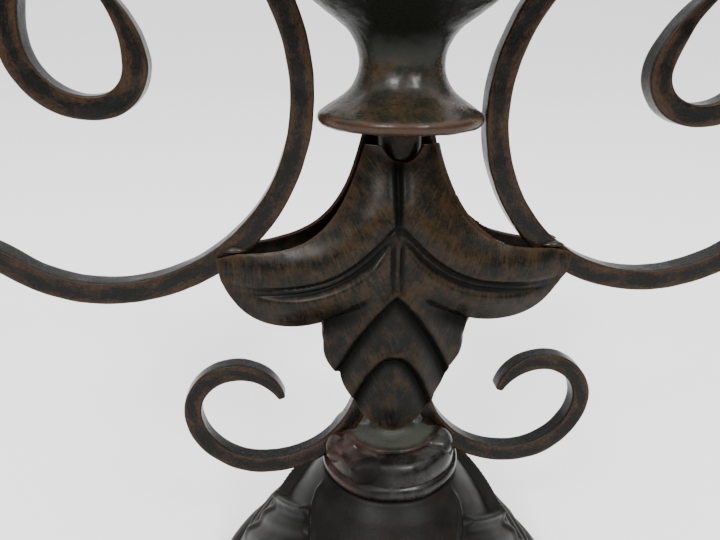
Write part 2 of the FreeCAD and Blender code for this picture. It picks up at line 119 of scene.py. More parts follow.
def setPlaces(obj, spots):
    obj.data.vertices.foreach_set("co", np.asarray(spots, np.float32).ravel())
    obj.data.update()


def softStep(value, low, high):
    t = np.clip((value - low) / (high - low), 0.0, 1.0)
    return t * t * (3.0 - 2.0 * t)


def hump(value, middle, half):
    return np.exp(-((value - middle) / half) ** 2)


def arcPoints(centre, radius, first, last, count):
    turns = [math.radians(first + (last - first) * k / count) for k in range(count + 1)]
    return [(centre[0] + radius * math.cos(t), centre[1] + radius * math.sin(t)) for t in turns]


def arcThrough(a, b, c, count):
    # the arc from a by b to c, from its middle and radius
    d = 2.0 * (a[0] * (b[1] - c[1]) + b[0] * (c[1] - a[1]) + c[0] * (a[1] - b[1]))
    sa, sb, sc = (p[0] ** 2 + p[1] ** 2 for p in (a, b, c))
    middle = ((sa * (b[1] - c[1]) + sb * (c[1] - a[1]) + sc * (a[1] - b[1])) / d,
              (sa * (c[0] - b[0]) + sb * (a[0] - c[0]) + sc * (b[0] - a[0])) / d)
    turns = [math.atan2(p[1] - middle[1], p[0] - middle[0]) for p in (a, b, c)]
    sweep = (turns[2] - turns[0]) % (2.0 * math.pi)
    if (turns[1] - turns[0]) % (2.0 * math.pi) > sweep:
        sweep -= 2.0 * math.pi
    radius = math.dist(a, middle)
    return arcPoints(middle, radius, math.degrees(turns[0]), math.degrees(turns[0] + sweep), count)


def evenSpots(points, pitch):
    # spots at an even pitch round a closed outline
    line = np.array(points + points[:1], float)
    reach = np.concatenate([[0.0], np.cumsum(np.hypot(*np.diff(line, axis=0).T))])
    count = max(2, int(round(reach[-1] / pitch)))
    stops = np.linspace(0.0, reach[-1], count + 1)[:count]
    return np.stack([np.interp(stops, reach, line[:, k]) for k in (0, 1)], axis=1)


# Finishes, all from nodes on object coordinates and on the pieces' own attributes

def feed(tree, node, inputs):
    for key, value in inputs.items():
        if isinstance(value, bpy.types.NodeSocket):
            tree.links.new(value, node.inputs[key])
        elif node.inputs[key].type == "RGBA":
            node.inputs[key].default_value = (*value, 1.0)
        else:
            node.inputs[key].default_value = value


def addNode(tree, kind, inputs=None, **setup):
    made = tree.nodes.new("ShaderNode" + kind)
    for key, value in setup.items():
        setattr(made, key, value)
    feed(tree, made, inputs or {})
    return made


def calc(tree, operation, a, b=0.0, clamp=False):
    return addNode(tree, "Math", {0: a, 1: b}, operation=operation, use_clamp=clamp).outputs[0]


def weigh(tree, *shares):
    # the sum of each value times its weight
    total = None
    for value, weight in shares:
        part = calc(tree, "MULTIPLY", value, weight)
        total = calc(tree, "ADD", total, part) if total else part
    return total


def ramp(tree, factor, *stops):
    made = addNode(tree, "ValToRGB", {0: factor})
    for point, (place, shade) in zip(made.color_ramp.elements, stops):
        point.position = place
        point.color = (shade, shade, shade, 1.0)
    return made.outputs[0]


def mixColour(tree, factor, a, b):
    return addNode(tree, "Mix", {0: factor, 6: a, 7: b}, data_type="RGBA").outputs[2]


def noise(tree, vector, scale, detail=4.0, roughness=0.6):
    inputs = {"Vector": vector, "Scale": scale, "Detail": detail, "Roughness": roughness}
    return addNode(tree, "TexNoise", inputs).outputs["Fac"]


def stretch(tree, coords, scale):
    return addNode(tree, "Mapping", {"Vector": coords, "Scale": scale}).outputs[0]


def spread(tree, value, low, high, least, most, **setup):
    return addNode(tree, "MapRange", {"Value": value, 1: low, 2: high, 3: least, 4: most}, **setup).outputs[0]


def bumps(tree, height, depth, strength=1.0):
    return addNode(tree, "Bump", {"Strength": strength, "Distance": depth, "Height": height}).outputs[0]


def attribute(tree, name):
    return addNode(tree, "Attribute", attribute_name=name).outputs["Fac"]


noiseSpan = (0.3, 0.7)     # where nearly all of a noise lies


def newFinish(name):
    material = bpy.data.materials.new(name)
    material.use_nodes = True
    tree = material.node_tree
    coords = addNode(tree, "TexCoord").outputs["Object"]
    return material, tree, tree.nodes["Principled BSDF"], coords


armBarWidth = 7.9 * mm
bronzePaint = {
    # deep is the near black that the painted shade in the leaves' folds and on the stem, and the cup's darker
    # flare, are mixed towards
    "deep": (0.0026, 0.0026, 0.0022), "rust": (0.0250, 0.0115, 0.0063), "hair": (0.062, 0.047, 0.029),
    "blotchSize": 170.0, "fleckSize": 950.0, "brushSize": 2000.0,
    "barBlotch": 0.45, "barStroke": 0.3, "turnedStroke": (0.3, 0.3, 1.0),
    "rubWear": 0.14, "sideBlack": 0.11, "faceBlack": 0.09,
    "foldBlack": 0.2, "foldDeep": 0.8, "foldMatt": 0.85,
    "rustRub": 0.5, "rustFleck": 0.6, "rustFrom": 0.62, "rustTo": 0.86, "rustShare": 0.8,
    "hairFrom": 0.58, "hairTo": 0.72,
    "glossStroke": 0.6, "glossFleck": 0.4, "glossFrom": 0.35, "glossTo": 0.65,
    "markStroke": 0.6, "markFleck": 0.7,
}
# the point that the strokes fan out from on each lobe, their pattern's scale across and along, and its
# shift from lobe to lobe
leafStrokes = {"x": 0.060, "z": 0.262, "wide": 0.095, "long": 0.075, "apart": 0.01}
finishTone = {
    "bar": {"black": (0.0024, 0.0024, 0.0019), "brown": (0.0220, 0.0116, 0.0054),
            "brownFrom": 0.43, "brownTo": 0.57, "hair": 0.08, "blotch": 0.62, "stroke": 0.25, "fleck": 0.13,
            "rough": (0.18, 0.36), "bump": 0.00006, "specular": 0.11},
    "turned": {"black": (0.0090, 0.0094, 0.0064), "brown": (0.0290, 0.0176, 0.0090),
               "brownFrom": 0.46, "brownTo": 0.62, "hair": 0.0, "blotch": 0.55, "stroke": 0.20, "fleck": 0.25,
               "rough": (0.24, 0.34), "bump": 0.00002, "specular": 0.17},
    "leaf": {"black": (0.0029, 0.0031, 0.0023), "brown": (0.0200, 0.0120, 0.0056),
             "brownFrom": 0.44, "brownTo": 0.60, "hair": 0.14, "blotch": 0.46, "stroke": 0.32, "fleck": 0.22,
             "rough": (0.25, 0.41), "bump": 0.00004, "specular": 0.10},
}


def barPlace(tree, share):
    # a place on the unrolled bar, shortened along it
    along = calc(tree, "MULTIPLY", attribute(tree, "along"), share)
    parts = {0: along, 1: attribute(tree, "wide"), 2: attribute(tree, "front")}
    return addNode(tree, "CombineXYZ", parts).outputs[0]


def leafStrokePlace(tree, coords):
    # hair strokes fan out from one point above each lobe
    parts = addNode(tree, "SeparateXYZ", {0: coords}).outputs
    across = calc(tree, "SUBTRACT", calc(tree, "ABSOLUTE", parts[0]), leafStrokes["x"])
    up = calc(tree, "SUBTRACT", leafStrokes["z"], parts[2])
    squares = calc(tree, "ADD", calc(tree, "POWER", across, 2.0), calc(tree, "POWER", up, 2.0))
    far = calc(tree, "MULTIPLY", calc(tree, "SQRT", squares), leafStrokes["long"])
    wide = calc(tree, "MULTIPLY", calc(tree, "ARCTAN2", across, up), leafStrokes["wide"])
    side = calc(tree, "MULTIPLY", calc(tree, "SIGN", parts[0]), leafStrokes["apart"])
    return addNode(tree, "CombineXYZ", {0: wide, 1: far, 2: side}).outputs[0]


def bronzeFinish(name, look):
    p, tone = bronzePaint, finishTone[look]
    material, tree, shader, coords = newFinish(name)
    blotchPlace = coords
    if look == "bar":
        strokePlace, blotchPlace = barPlace(tree, p["barStroke"]), barPlace(tree, p["barBlotch"])
    elif look == "leaf":
        strokePlace = leafStrokePlace(tree, coords)
    else:
        strokePlace = stretch(tree, coords, p["turnedStroke"])
    rub, shadeAndDark = attribute(tree, "rub"), attribute(tree, "shadeAndDark")
    strokes = noise(tree, strokePlace, p["brushSize"], detail=3.0, roughness=0.7)
    blotch = noise(tree, blotchPlace, p["blotchSize"], detail=5.0, roughness=0.62)
    fleck = noise(tree, coords, p["fleckSize"], detail=3.0, roughness=0.65)
    # brown shows where the black top coat was rubbed thin: along edges and ridges, and in patches
    worn = weigh(tree, (blotch, tone["blotch"]), (strokes, tone["stroke"]), (fleck, tone["fleck"]),
                 (rub, p["rubWear"]), (shadeAndDark, -p["foldBlack"]))
    if look == "bar":
        # a bar's flat sides are left dark, and the top coat stays thickest along the middle of each face
        flank = calc(tree, "SUBTRACT", 1.0, attribute(tree, "front"))
        offMiddle = calc(tree, "MULTIPLY", calc(tree, "ABSOLUTE", attribute(tree, "wide")), 2.0 / armBarWidth)
        middle = calc(tree, "SUBTRACT", 1.0, offMiddle, clamp=True)
        worn = weigh(tree, (worn, 1.0), (flank, -p["sideBlack"]), (middle, -p["faceBlack"]))
    brown = ramp(tree, worn, (tone["brownFrom"], 0.0), (tone["brownTo"], 1.0))
    colour = mixColour(tree, brown, tone["black"], tone["brown"])
    # painted shade: the leaves' folds and the stem are darkened towards near black, and the cup is darker up
    # its flare
    colour = mixColour(tree, calc(tree, "MULTIPLY", shadeAndDark, p["foldDeep"]), colour, p["deep"])
    edge = weigh(tree, (rub, p["rustRub"]), (fleck, p["rustFleck"]))
    rust = ramp(tree, edge, (p["rustFrom"], 0.0), (p["rustTo"], p["rustShare"]))
    colour = mixColour(tree, rust, colour, p["rust"])
    hairs = ramp(tree, strokes, (p["hairFrom"], 0.0), (p["hairTo"], tone["hair"]))
    colour = mixColour(tree, hairs, colour, p["hair"])
    gloss = weigh(tree, (strokes, p["glossStroke"]), (fleck, p["glossFleck"]))
    marks = weigh(tree, (strokes, p["markStroke"]), (fleck, p["markFleck"]))
    feed(tree, shader, {"Base Color": colour, "Specular IOR Level": tone["specular"],
                        "Roughness": spread(tree, gloss, p["glossFrom"], p["glossTo"], *tone["rough"]),
                        "Normal": bumps(tree, marks, tone["bump"])})
    if look != "bar":
        # the darkened places lose shine as well: painted shade in the leaves' folds and on the stem, and the
        # cup's darker flare; bars have none
        matt = calc(tree, "SUBTRACT", 1.0, calc(tree, "MULTIPLY", shadeAndDark, p["foldMatt"]))
        feed(tree, shader, {"Specular IOR Level": calc(tree, "MULTIPLY", matt, tone["specular"])})
    return material


basePaint = {
    "dark": (0.0022, 0.0022, 0.0019), "pale": (0.0058, 0.0056, 0.0049), "brown": (0.0080, 0.0054, 0.0039),
    "blotchSize": 120.0, "streakSize": 1300.0, "streakStretch": (1.0, 1.0, 0.12), "warmSize": 70.0,
    "blotch": 0.5, "streak": 0.6, "rub": 0.3, "shadeAndDark": 0.4, "paleFrom": 0.4, "paleTo": 0.78,
    "warmFrom": 0.52, "warmTo": 0.7, "warmShare": 0.8,
    "rough": (0.34, 0.5), "specular": 0.075, "bump": 0.00005,
}


def baseFinish(name):
    p = basePaint
    material, tree, shader, coords = newFinish(name)
    blotch = noise(tree, coords, p["blotchSize"], detail=5.0)
    streak = noise(tree, stretch(tree, coords, p["streakStretch"]), p["streakSize"], detail=3.0)
    # painted shade in the base's carved valleys and grooves keeps the paint dark there
    lift = weigh(tree, (blotch, p["blotch"]), (streak, p["streak"]), (attribute(tree, "rub"), p["rub"]),
                 (attribute(tree, "shadeAndDark"), -p["shadeAndDark"]))
    pale = ramp(tree, lift, (p["paleFrom"], 0.0), (p["paleTo"], 1.0))
    colour = mixColour(tree, pale, p["dark"], p["pale"])
    patches = noise(tree, coords, p["warmSize"], detail=3.0)
    warm = ramp(tree, patches, (p["warmFrom"], 0.0), (p["warmTo"], p["warmShare"]))
    feed(tree, shader, {"Base Color": mixColour(tree, warm, colour, p["brown"]),
                        "Roughness": spread(tree, blotch, *noiseSpan, *p["rough"]),
                        "Specular IOR Level": p["specular"], "Normal": bumps(tree, streak, p["bump"])})
    return material


steelLook = {"clean": (0.42, 0.41, 0.39), "stain": (0.24, 0.22, 0.19),
             "stainSize": 300.0, "stainFrom": 0.4, "stainTo": 0.7,
             "grooveSize": 420.0, "grooveStretch": (1.0, 1.0, 12.0), "rough": (0.3, 0.5), "bump": 0.00004,
             "bumpShare": 0.6}


def steelFinish(name):
    p = steelLook
    material, tree, shader, coords = newFinish(name)
    grooves = noise(tree, stretch(tree, coords, p["grooveStretch"]), p["grooveSize"], detail=3.0)
    stain = ramp(tree, noise(tree, coords, p["stainSize"]), (p["stainFrom"], 0.0), (p["stainTo"], 1.0))
    feed(tree, shader, {"Base Color": mixColour(tree, stain, p["clean"], p["stain"]), "Metallic": 1.0,
                        "Roughness": spread(tree, grooves, *noiseSpan, *p["rough"]),
                        "Normal": bumps(tree, grooves, p["bump"], p["bumpShare"])})
    return material


feltLook = {"deep": (0.010, 0.011, 0.010), "tips": (0.04, 0.043, 0.038), "tipsFrom": 0.35, "tipsTo": 0.7,
            "fibreSize": 2400.0, "rough": 0.95, "sheen": 0.4, "bump": 0.0003}


def feltFinish(name):
    p = feltLook
    material, tree, shader, coords = newFinish(name)
    fibres = noise(tree, coords, p["fibreSize"], roughness=0.8)
    tips = ramp(tree, fibres, (p["tipsFrom"], 0.0), (p["tipsTo"], 1.0))
    feed(tree, shader, {"Base Color": mixColour(tree, tips, p["deep"], p["tips"]), "Roughness": p["rough"],
                        "Sheen Weight": p["sheen"], "Normal": bumps(tree, fibres, p["bump"])})
    return material


barPaint = bronzeFinish("barBronze", "bar")
cupPaint = bronzeFinish("cupBronze", "turned")
leafPaint = bronzeFinish("leafBronze", "leaf")
castPaint = baseFinish("baseCast")
bareSteel = steelFinish("bareSteel")
feltCloth = feltFinish("greenFelt")
print("finishes mixed")


# CAD nodes that stay as they are get their finish here

slotFinish = {"bronze_paint": cupPaint, "base_paint": castPaint, "leaf_paint": leafPaint,
              "plain_steel": bareSteel, "felt": feltCloth}
for entry in frame["record"]["subparts"]:
    obj = frame["nodes"][entry["node"]]
    obj.data.materials.clear()
    obj.data.materials.append(slotFinish[entry["material_slot"]])


# Scroll bars: a rounded square section spun along the bends

barSection = {"edgeSteps": 4, "faceCuts": 6, "pitch": 1.1 * mm, "rubWidth": 0.9 * mm, "faceFade": 0.3 * mm,
              "noseSteps": 4, "noseRound": 0.96, "noseFlat": 0.45,
              "lumpSize": 9.0 * mm, "lump": 0.45 * mm, "waveSize": 30.0 * mm, "wave": 0.5 * mm}
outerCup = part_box("right_cup")
armStart = (0.5 * (outerCup[0].x + outerCup[1].x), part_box("right_cup_ferrule")[0].z)
scrollStart = (10.2 * mm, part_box("right_lower_scroll")[1].z)

# each bend has its radius in millimetres and its turn in degrees
armBar = {"width": armBarWidth, "edgeRound": 0.9 * mm, "start": armStart, "leg": 0.0,
          "tipWidth": 2.2 * mm, "tipPower": 1.2}
rightArmBends = {"rise": (22.0, -86.0), "sway": (71.0, 32.0), "foot": (62.0, -36.0), "loop": (61.4, -175.0),
                 "crown": (34.4, -129.4), "curl": (20.1, -82.8), "hook": (13.0, -79.6), "tip": (45.3, -36.0)}
leftArmBends = {"rise": (25.0, 86.0), "sway": (65.1, -32.0), "foot": (52.0, 36.0), "loop": (67.5, 132.9),
                "crown": (40.2, 141.6), "curl": (21.7, 95.3), "hook": (13.4, 83.5), "tip": (33.2, 43.0)}
scrollBar = {"width": 6.6 * mm, "edgeRound": 0.8 * mm, "start": scrollStart, "leg": 24.0 * mm,
             "tipWidth": 3.0 * mm, "tipPower": 2.0}
rightScrollBends = {"leg": (39.0, 90.0), "belly": (27.0, 77.0), "crown": (16.9, 91.0), "tip": (17.8, 78.0)}
leftScrollBends = {key: (radius, -turn) for key, (radius, turn) in rightScrollBends.items()}


def barRing(bar):
    clearSelection()
    bpy.ops.mesh.primitive_plane_add(size=bar["width"])
    obj = bpy.context.object
    editAll(obj)
    bpy.ops.mesh.bevel(affect="VERTICES", offset=bar["edgeRound"], segments=barSection["edgeSteps"])
    bpy.ops.mesh.delete(type="ONLY_FACE")
    bpy.ops.mesh.select_all(action="DESELECT")
    ring = bmesh.from_edit_mesh(obj.data)
    for edge in ring.edges:
        edge.select_set(edge.calc_length() > 0.5 * bar["width"])
    bmesh.update_edit_mesh(obj.data)
    bpy.ops.mesh.subdivide(number_cuts=barSection["faceCuts"])
    bpy.ops.object.mode_set(mode="OBJECT")
    across, through = places(obj)[:, :2].T
    past = np.abs(through) - np.abs(across)     # above 0 on the front and back faces
    fromCorner = bar["width"] - np.abs(across) - np.abs(through)
    setPoints(obj, "rub", np.exp(-fromCorner / barSection["rubWidth"]))
    setPoints(obj, "front", softStep(past, -barSection["faceFade"], barSection["faceFade"]))
    setPoints(obj, "wide", np.where(past > 0.0, across, through))
    return obj


def bendBar(obj, bar, bends, side):
    # extrudes the straight leg and spins each bend, and gives each ring's middle, heading and thickness
    spot = Vector((side * bar["start"][0], 0.0, bar["start"][1]))
    heading = -0.5 * math.pi
    tipShare = bar["tipWidth"] / bar["width"]
    editAll(obj)
    bpy.ops.transform.translate(value=spot)
    rings = [(spot.copy(), heading, 1.0)]
    down = Vector((0.0, 0.0, -barSection["pitch"]))
    for step in range(round(bar["leg"] / barSection["pitch"])):
        bpy.ops.mesh.extrude_region_move(TRANSFORM_OT_translate={"value": down})
        spot = spot + down
        rings.append((spot.copy(), heading, 1.0))
    runs = [(key, radius * mm, math.radians(turn)) for key, (radius, turn) in bends.items()]
    tipRadius, tipTurn = runs[-1][1:]
    runs.append(("nose", tipRadius, math.copysign(0.5 * bar["tipWidth"] / tipRadius, tipTurn)))
    for key, radius, turn in runs:
        arm = math.copysign(radius, turn)
        centre = spot + arm * Vector((-math.sin(heading), 0.0, math.cos(heading)))
        steps = max(3, round(radius * abs(turn) / barSection["pitch"]))
        if key == "nose":
            steps = barSection["noseSteps"]
        bpy.ops.mesh.spin(steps=steps, angle=turn, center=centre, axis=(0.0, 1.0, 0.0))
        for step in range(1, steps + 1):
            angle = heading + turn * step / steps
            middle = centre - arm * Vector((-math.sin(angle), 0.0, math.cos(angle)))
            scale = 1.0
            if key == "tip":
                scale = 1.0 + (tipShare - 1.0) * (step / steps) ** bar["tipPower"]
            elif key == "nose":
                scale = tipShare * math.sqrt(1.0 - barSection["noseRound"] * (step / steps) ** 2)
            rings.append((middle, angle, scale))
        heading += turn
        spot = rings[-1][0].copy()
    bpy.ops.object.mode_set(mode="OBJECT")
    return rings


def drawOutTip(obj, rings, ringSize, tipShare):
    # the tip is thinner in the plane of the bends, and its nose is rounded both ways
    spots = places(obj)
    along = np.zeros(len(spots))
    reach = 0.0
    for k, (middle, angle, scale) in enumerate(rings):
        if k:
            reach += (middle - rings[k - 1][0]).length
        row = slice(k * ringSize, (k + 1) * ringSize)
        normal = np.array((-math.sin(angle), 0.0, math.cos(angle)))
        offset = (spots[row] - np.array(middle)) @ normal
        spots[row] += np.outer(offset * (scale - 1.0), normal)
        if scale < tipShare:
            spots[row, 1] *= 1.0 - barSection["noseFlat"] * (1.0 - scale / tipShare)
        along[row] = reach
    setPlaces(obj, spots)
    setPoints(obj, "along", along)


def closeEnd(obj, first, ringSize):
    pickOnly(obj)
    ends = range(first, first + ringSize)
    for vertex in obj.data.vertices:
        vertex.select = vertex.index in ends
    for edge in obj.data.edges:
        edge.select = edge.vertices[0] in ends and edge.vertices[1] in ends
    for face in obj.data.polygons:
        face.select = False
    bpy.ops.object.mode_set(mode="EDIT")
    bpy.ops.mesh.select_mode(type="EDGE")
    bpy.ops.mesh.edge_face_add()
    bpy.ops.mesh.select_mode(type="VERT")
    bpy.ops.object.mode_set(mode="OBJECT")


def spinBar(bar, bends, side):
    obj = barRing(bar)
    ringSize = len(obj.data.vertices)
    rings = bendBar(obj, bar, bends, side)
    drawOutTip(obj, rings, ringSize, bar["tipWidth"] / bar["width"])
    for first in (0, (len(rings) - 1) * ringSize):
        closeEnd(obj, first, ringSize)
    mendNormals(obj, mergeBelow=0.001 * mm)
    return obj


bars = (("rightScrollArm", armBar, rightArmBends, 1.0, "right_scroll_arm"),
        ("leftScrollArm", armBar, leftArmBends, -1.0, "left_scroll_arm"),
        ("rightLowerScroll", scrollBar, rightScrollBends, 1.0, "right_lower_scroll"),
        ("leftLowerScroll", scrollBar, leftScrollBends, -1.0, "left_lower_scroll"))
for pieceName, bar, bends, side, nodeName in bars:
    piece = spinBar(bar, bends, side)
    hammer(piece, "paintLumps", barSection["lumpSize"], barSection["lump"])
    hammer(piece, "barWaves", barSection["waveSize"], barSection["wave"])
    finishPiece(piece, pieceName, barPaint, "stand", "bronze_paint", nodeName)


# Leaves: one stamped sheet, front and back alike, in millimetres up from the tongue and out from the middle

leafLow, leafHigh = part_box("front_leaf")[0].z / mm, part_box("front_leaf")[1].z / mm
leafShape = {
    "cell": 0.41, "margin": 2.0, "mergeShare": 0.3, "outlinePitch": 0.08, "sheet": 1.2,
    "pressings": 90, "pressFromVein": 2.5, "pressFromCrease": 4.5, "pressFromEdge": 1.0, "creaseX": -1.0,
    "hornHalf": 12.3, "hornDrop": 0.1, "backRise": 1.6, "backRiseRun": 16.0,
    "scoop": 5.4, "scoopHalf": 7.2, "scoopPower": 2.3,
    "edgeUp": 69.3, "edgeRun": 10.3, "steepTo": 24.0,
    "tipX": 63.0, "tipUp": 64.4, "tipWidth": 7.6, "tipSlant": 1.2,
    "bellyX": 43.05, "bellyRight": 44.5, "bellyLeft": 42.9,
    "tierHalf": 25.5, "tierUp": 45.5, "tierDrop": 12.0, "tierLean": 1.1, "notchLean": 2.0,
    "notchHalf": 20.4, "notchUp": 24.3,
    "tongueHalf": 15.5, "tongueUp": 12.3, "tongueDip": 2.2, "tongueFull": (0.62, 0.20), "bow": 1.2,
}
# a pair is where something starts and where it is whole, or the place and half width of a shade or rub
leafRelief = {
    "tipDepth": 5.27, "stemDepth": 8.17, "stem": 6.85, "stemGap": 1.32, "edgeDepth": 3.6, "edgeSoft": 1.0,
    "tipFrom": (0.5, 0.8), "offCentre": 1.5, "offCentreReach": 0.7,
    "bulge": 9.8, "bulgeSpread": 1.08, "bulgePower": 2.2, "panelSwell": 1.4, "creaseUp": 104.8,
    "lowRoll": 4.5, "lowRollMost": 1.6, "lowRollFrom": (8.0, 30.0), "tierRoll": 4.5, "tierFoot": -6.0,
    "veinDrop": 7.3, "veinRise": 23.9, "veinSpread": 16.5, "veinPower": 1.3,
    "veinLift": 1.2, "veinLiftFrom": (44.0, 62.0), "veinFade": (3.0, 30.0), "veinEnd": 2.0, "foldShade": 0.8,
    "foldFrom": 0.3, "foldTo": 1.3, "foldRun": 2.0,
    "crease": 1.3, "creaseHalf": 1.1, "creaseFrom": (-6.0, 2.0),
    "creaseShadeHalf": 2.6, "creaseShadeFrom": (2.0, 16.0),
    "spineHalf": 1.5, "spineGroove": 0.8, "spineGrooveHalf": 0.8, "spineRib": 0.4, "spineRibHalf": 1.3,
    "spineFrom": (54.0, 66.0), "spineTop": (-3.0, -8.0),
    "lowRib": 0.7, "lowRibHalf": 1.5, "lowRibTop": (50.0, 43.0), "lowRibFoot": (2.0, 8.0),
    "lobeApexUp": 59.5, "lobeStep": 2.6, "lobeRamp": 3.2, "tuckFrom": (7.0, 22.0), "tuckSharp": 0.55,
    "tuckShade": (2.8, 4.0), "tierApexUp": 56.2, "tierSag": 0.47, "tongueApexUp": 31.2, "tongueWide": 0.9,
    "tierFade": (-0.4, 1.6), "stepFade": 2.0, "lineStep": 0.1,
    "step": 0.9, "stepFrom": (-0.8, 2.2), "hollow": 1.7, "hollowRun": 4.2, "hollowShade": (1.9, 2.3),
    "bead": 0.8, "beadPlace": -1.2, "beadHalf": 1.7, "beadRub": (-1.8, 1.5),
    "lowDark": 0.12, "lowDarkFrom": (66.0, 34.0), "rubWidth": 0.7, "ridgeRub": 0.4,
}
# the vein as a row of soft folds below one line: place, half widths above and below it, and height of each
veinFolds = ((0.0, 0.75, 0.75, -0.9), (2.1, 0.8, 0.8, -1.1), (5.3, 2.4, 6.5, 2.1))
# how far the upper edge stands from the middle plane, from the horn to the tip
edgeStand = ((12.3, 3.5), (16.0, 4.0), (20.0, 5.1), (26.0, 7.4), (32.0, 8.8), (40.0, 8.8), (50.0, 6.9),
             (58.0, 5.4), (63.0, 5.27))


def leafEdge(x):
    rise = leafHigh - leafLow - leafShape["edgeUp"]
    return leafLow + leafShape["edgeUp"] + rise * np.exp((leafShape["hornHalf"] - x) / leafShape["edgeRun"])


def leafVein(x):
    r = leafRelief
    fall = r["veinRise"] * np.exp(-(x / r["veinSpread"]) ** r["veinPower"])
    lift = r["veinLift"] * softStep(x, *r["veinLiftFrom"])
    return leafLow + leafShape["tipUp"] - r["veinDrop"] + fall + lift


def lobeBorder(x):
    s = leafShape
    rise = (leafRelief["lobeApexUp"] - s["tierUp"]) * np.maximum(0.0, 1.0 - x / s["tierHalf"])
    return leafLow + s["tierUp"] + rise


def tierBorder(x):
    s, r = leafShape, leafRelief
    share = x / s["notchHalf"]
    fall = (1.0 - r["tierSag"]) * share + r["tierSag"] * share ** 2
    return leafLow + r["tierApexUp"] - (r["tierApexUp"] - s["notchUp"]) * fall


def tongueBorder(x):
    s, r = leafShape, leafRelief
    drop = r["tongueApexUp"] - s["tongueUp"]
    return leafLow + r["tongueApexUp"] - drop * (x / (r["tongueWide"] * s["tongueHalf"])) ** 2


def leafSideLine(bellyUp, tierHalf, notchUp):
    s = leafShape
    rise = leafHigh - leafLow - s["edgeUp"]
    hornX = s["hornHalf"] - s["edgeRun"] * math.log(1.0 - s["hornDrop"] / rise)
    edgeX = np.linspace(hornX, s["tipX"] - s["tipWidth"], 60)
    line = list(zip(edgeX, leafEdge(edgeX)))
    tipZ = leafLow + s["tipUp"]
    tipLow = (s["tipX"] - s["tipSlant"], tipZ - 0.5 * s["tipWidth"])
    line.append((s["tipX"], tipZ + 0.5 * s["tipWidth"]))
    corner = (tierHalf, leafLow + s["tierUp"])
    tierLow = (tierHalf, leafLow + s["tierUp"] - s["tierDrop"])
    notch = (s["notchHalf"], leafLow + notchUp)
    tongue = (s["tongueHalf"], leafLow + s["tongueUp"])
    cheek = (s["tongueFull"][0] * s["tongueHalf"], leafLow + s["tongueFull"][1] * s["tongueUp"])
    line += arcThrough(tipLow, (s["bellyX"], leafLow + bellyUp), corner, 40)
    line += arcThrough(tierLow, (tierHalf - s["bow"], 0.5 * (tierLow[1] + notch[1])), notch, 12)
    line += arcThrough(notch, (s["notchHalf"] - s["bow"], 0.5 * (notch[1] + tongue[1])), tongue, 12)
    line += arcThrough(tongue, cheek, (0.0, leafLow - s["tongueDip"]), 16)
    return line


def leafOutline():
    s = leafShape
    right = leafSideLine(s["bellyRight"], s["tierHalf"], s["notchUp"])
    # pressed by hand: the left side is a little wider and its notch lower
    left = leafSideLine(s["bellyLeft"], s["tierHalf"] + s["tierLean"], s["notchUp"] - s["notchLean"])
    scoopX = np.linspace(-s["scoopHalf"], s["scoopHalf"], 41)
    scoop = s["scoop"] * (1.0 - np.abs(scoopX / s["scoopHalf"]) ** s["scoopPower"])
    scoopZ = leafHigh - s["hornDrop"] - scoop
    return right + [(-x, z) for x, z in left[::-1]] + list(zip(scoopX, scoopZ))


def insideOutline(spots, outline):
    inside = np.zeros(len(spots), bool)
    x, z = spots.T
    for (ax, az), (bx, bz) in zip(outline, outline[1:] + outline[:1]):
        if az != bz:
            crosses = (az > z) != (bz > z)
            inside ^= crosses & (x < ax + (bx - ax) * (z - az) / (bz - az))
    return inside


def nearestOnLine(spots, line):
    gaps = np.hypot(spots[:, None, 0] - line[None, :, 0], spots[:, None, 1] - line[None, :, 1])
    best = gaps.argmin(1)
    return line[best], gaps[np.arange(len(spots)), best]


def nearest(spots, line):
    # in parts, so that the table of gaps stays small
    parts = [nearestOnLine(part, line) for part in np.array_split(spots, 24)]
    return np.concatenate([p[0] for p in parts]), np.concatenate([p[1] for p in parts])


def bulgeDepth(share):
    r = leafRelief
    return r["tipDepth"] + r["bulge"] * np.maximum(0.0, 1.0 - (r["bulgeSpread"] * share) ** r["bulgePower"])


def leafPanels(x, z, apex, nearSpine, toSpine, onCrease):
    s, r = leafShape, leafRelief
    # upper panels: from the crease or the vein out to the edge, with closer spots where it is steep
    edgeX = np.concatenate([np.linspace(s["hornHalf"], s["steepTo"], 300),
                            np.linspace(s["steepTo"], s["tipX"], 200)])
    nearEdge, toEdge = nearest(np.stack([x, z], axis=1), np.stack([edgeX, leafEdge(edgeX)], axis=1))
    ridge = bulgeDepth(np.minimum(1.0, nearSpine[:, 0] / s["tipX"]))
    climb = softStep(nearSpine[:, 1], leafLow + r["creaseUp"], apex)
    ridge = np.where(onCrease, r["stemDepth"] + (ridge - r["stemDepth"]) * climb, ridge)
    out = toSpine / (toSpine + toEdge + 0.001)
    stand = np.interp(nearEdge[:, 0], *zip(*edgeStand))
    upper = stand + (ridge - stand) * (1.0 - out ** 2) + r["panelSwell"] * 4.0 * out * (1.0 - out)
    # lower panels: from the vein down to the lobe's lower border
    veinZ = leafVein(x)
    flat = 1.0 - np.minimum(1.0, x / s["tipX"]) ** 2
    below = np.maximum(0.0, veinZ - z) / (veinZ - lobeBorder(x)) * softStep(x, 0.0, s["tongueHalf"])
    roll = r["lowRoll"] * flat * np.minimum(below, r["lowRollMost"]) ** 2 * softStep(x, *r["lowRollFrom"])
    return np.where(z > veinZ, upper, bulgeDepth(x / s["tipX"]) - roll)


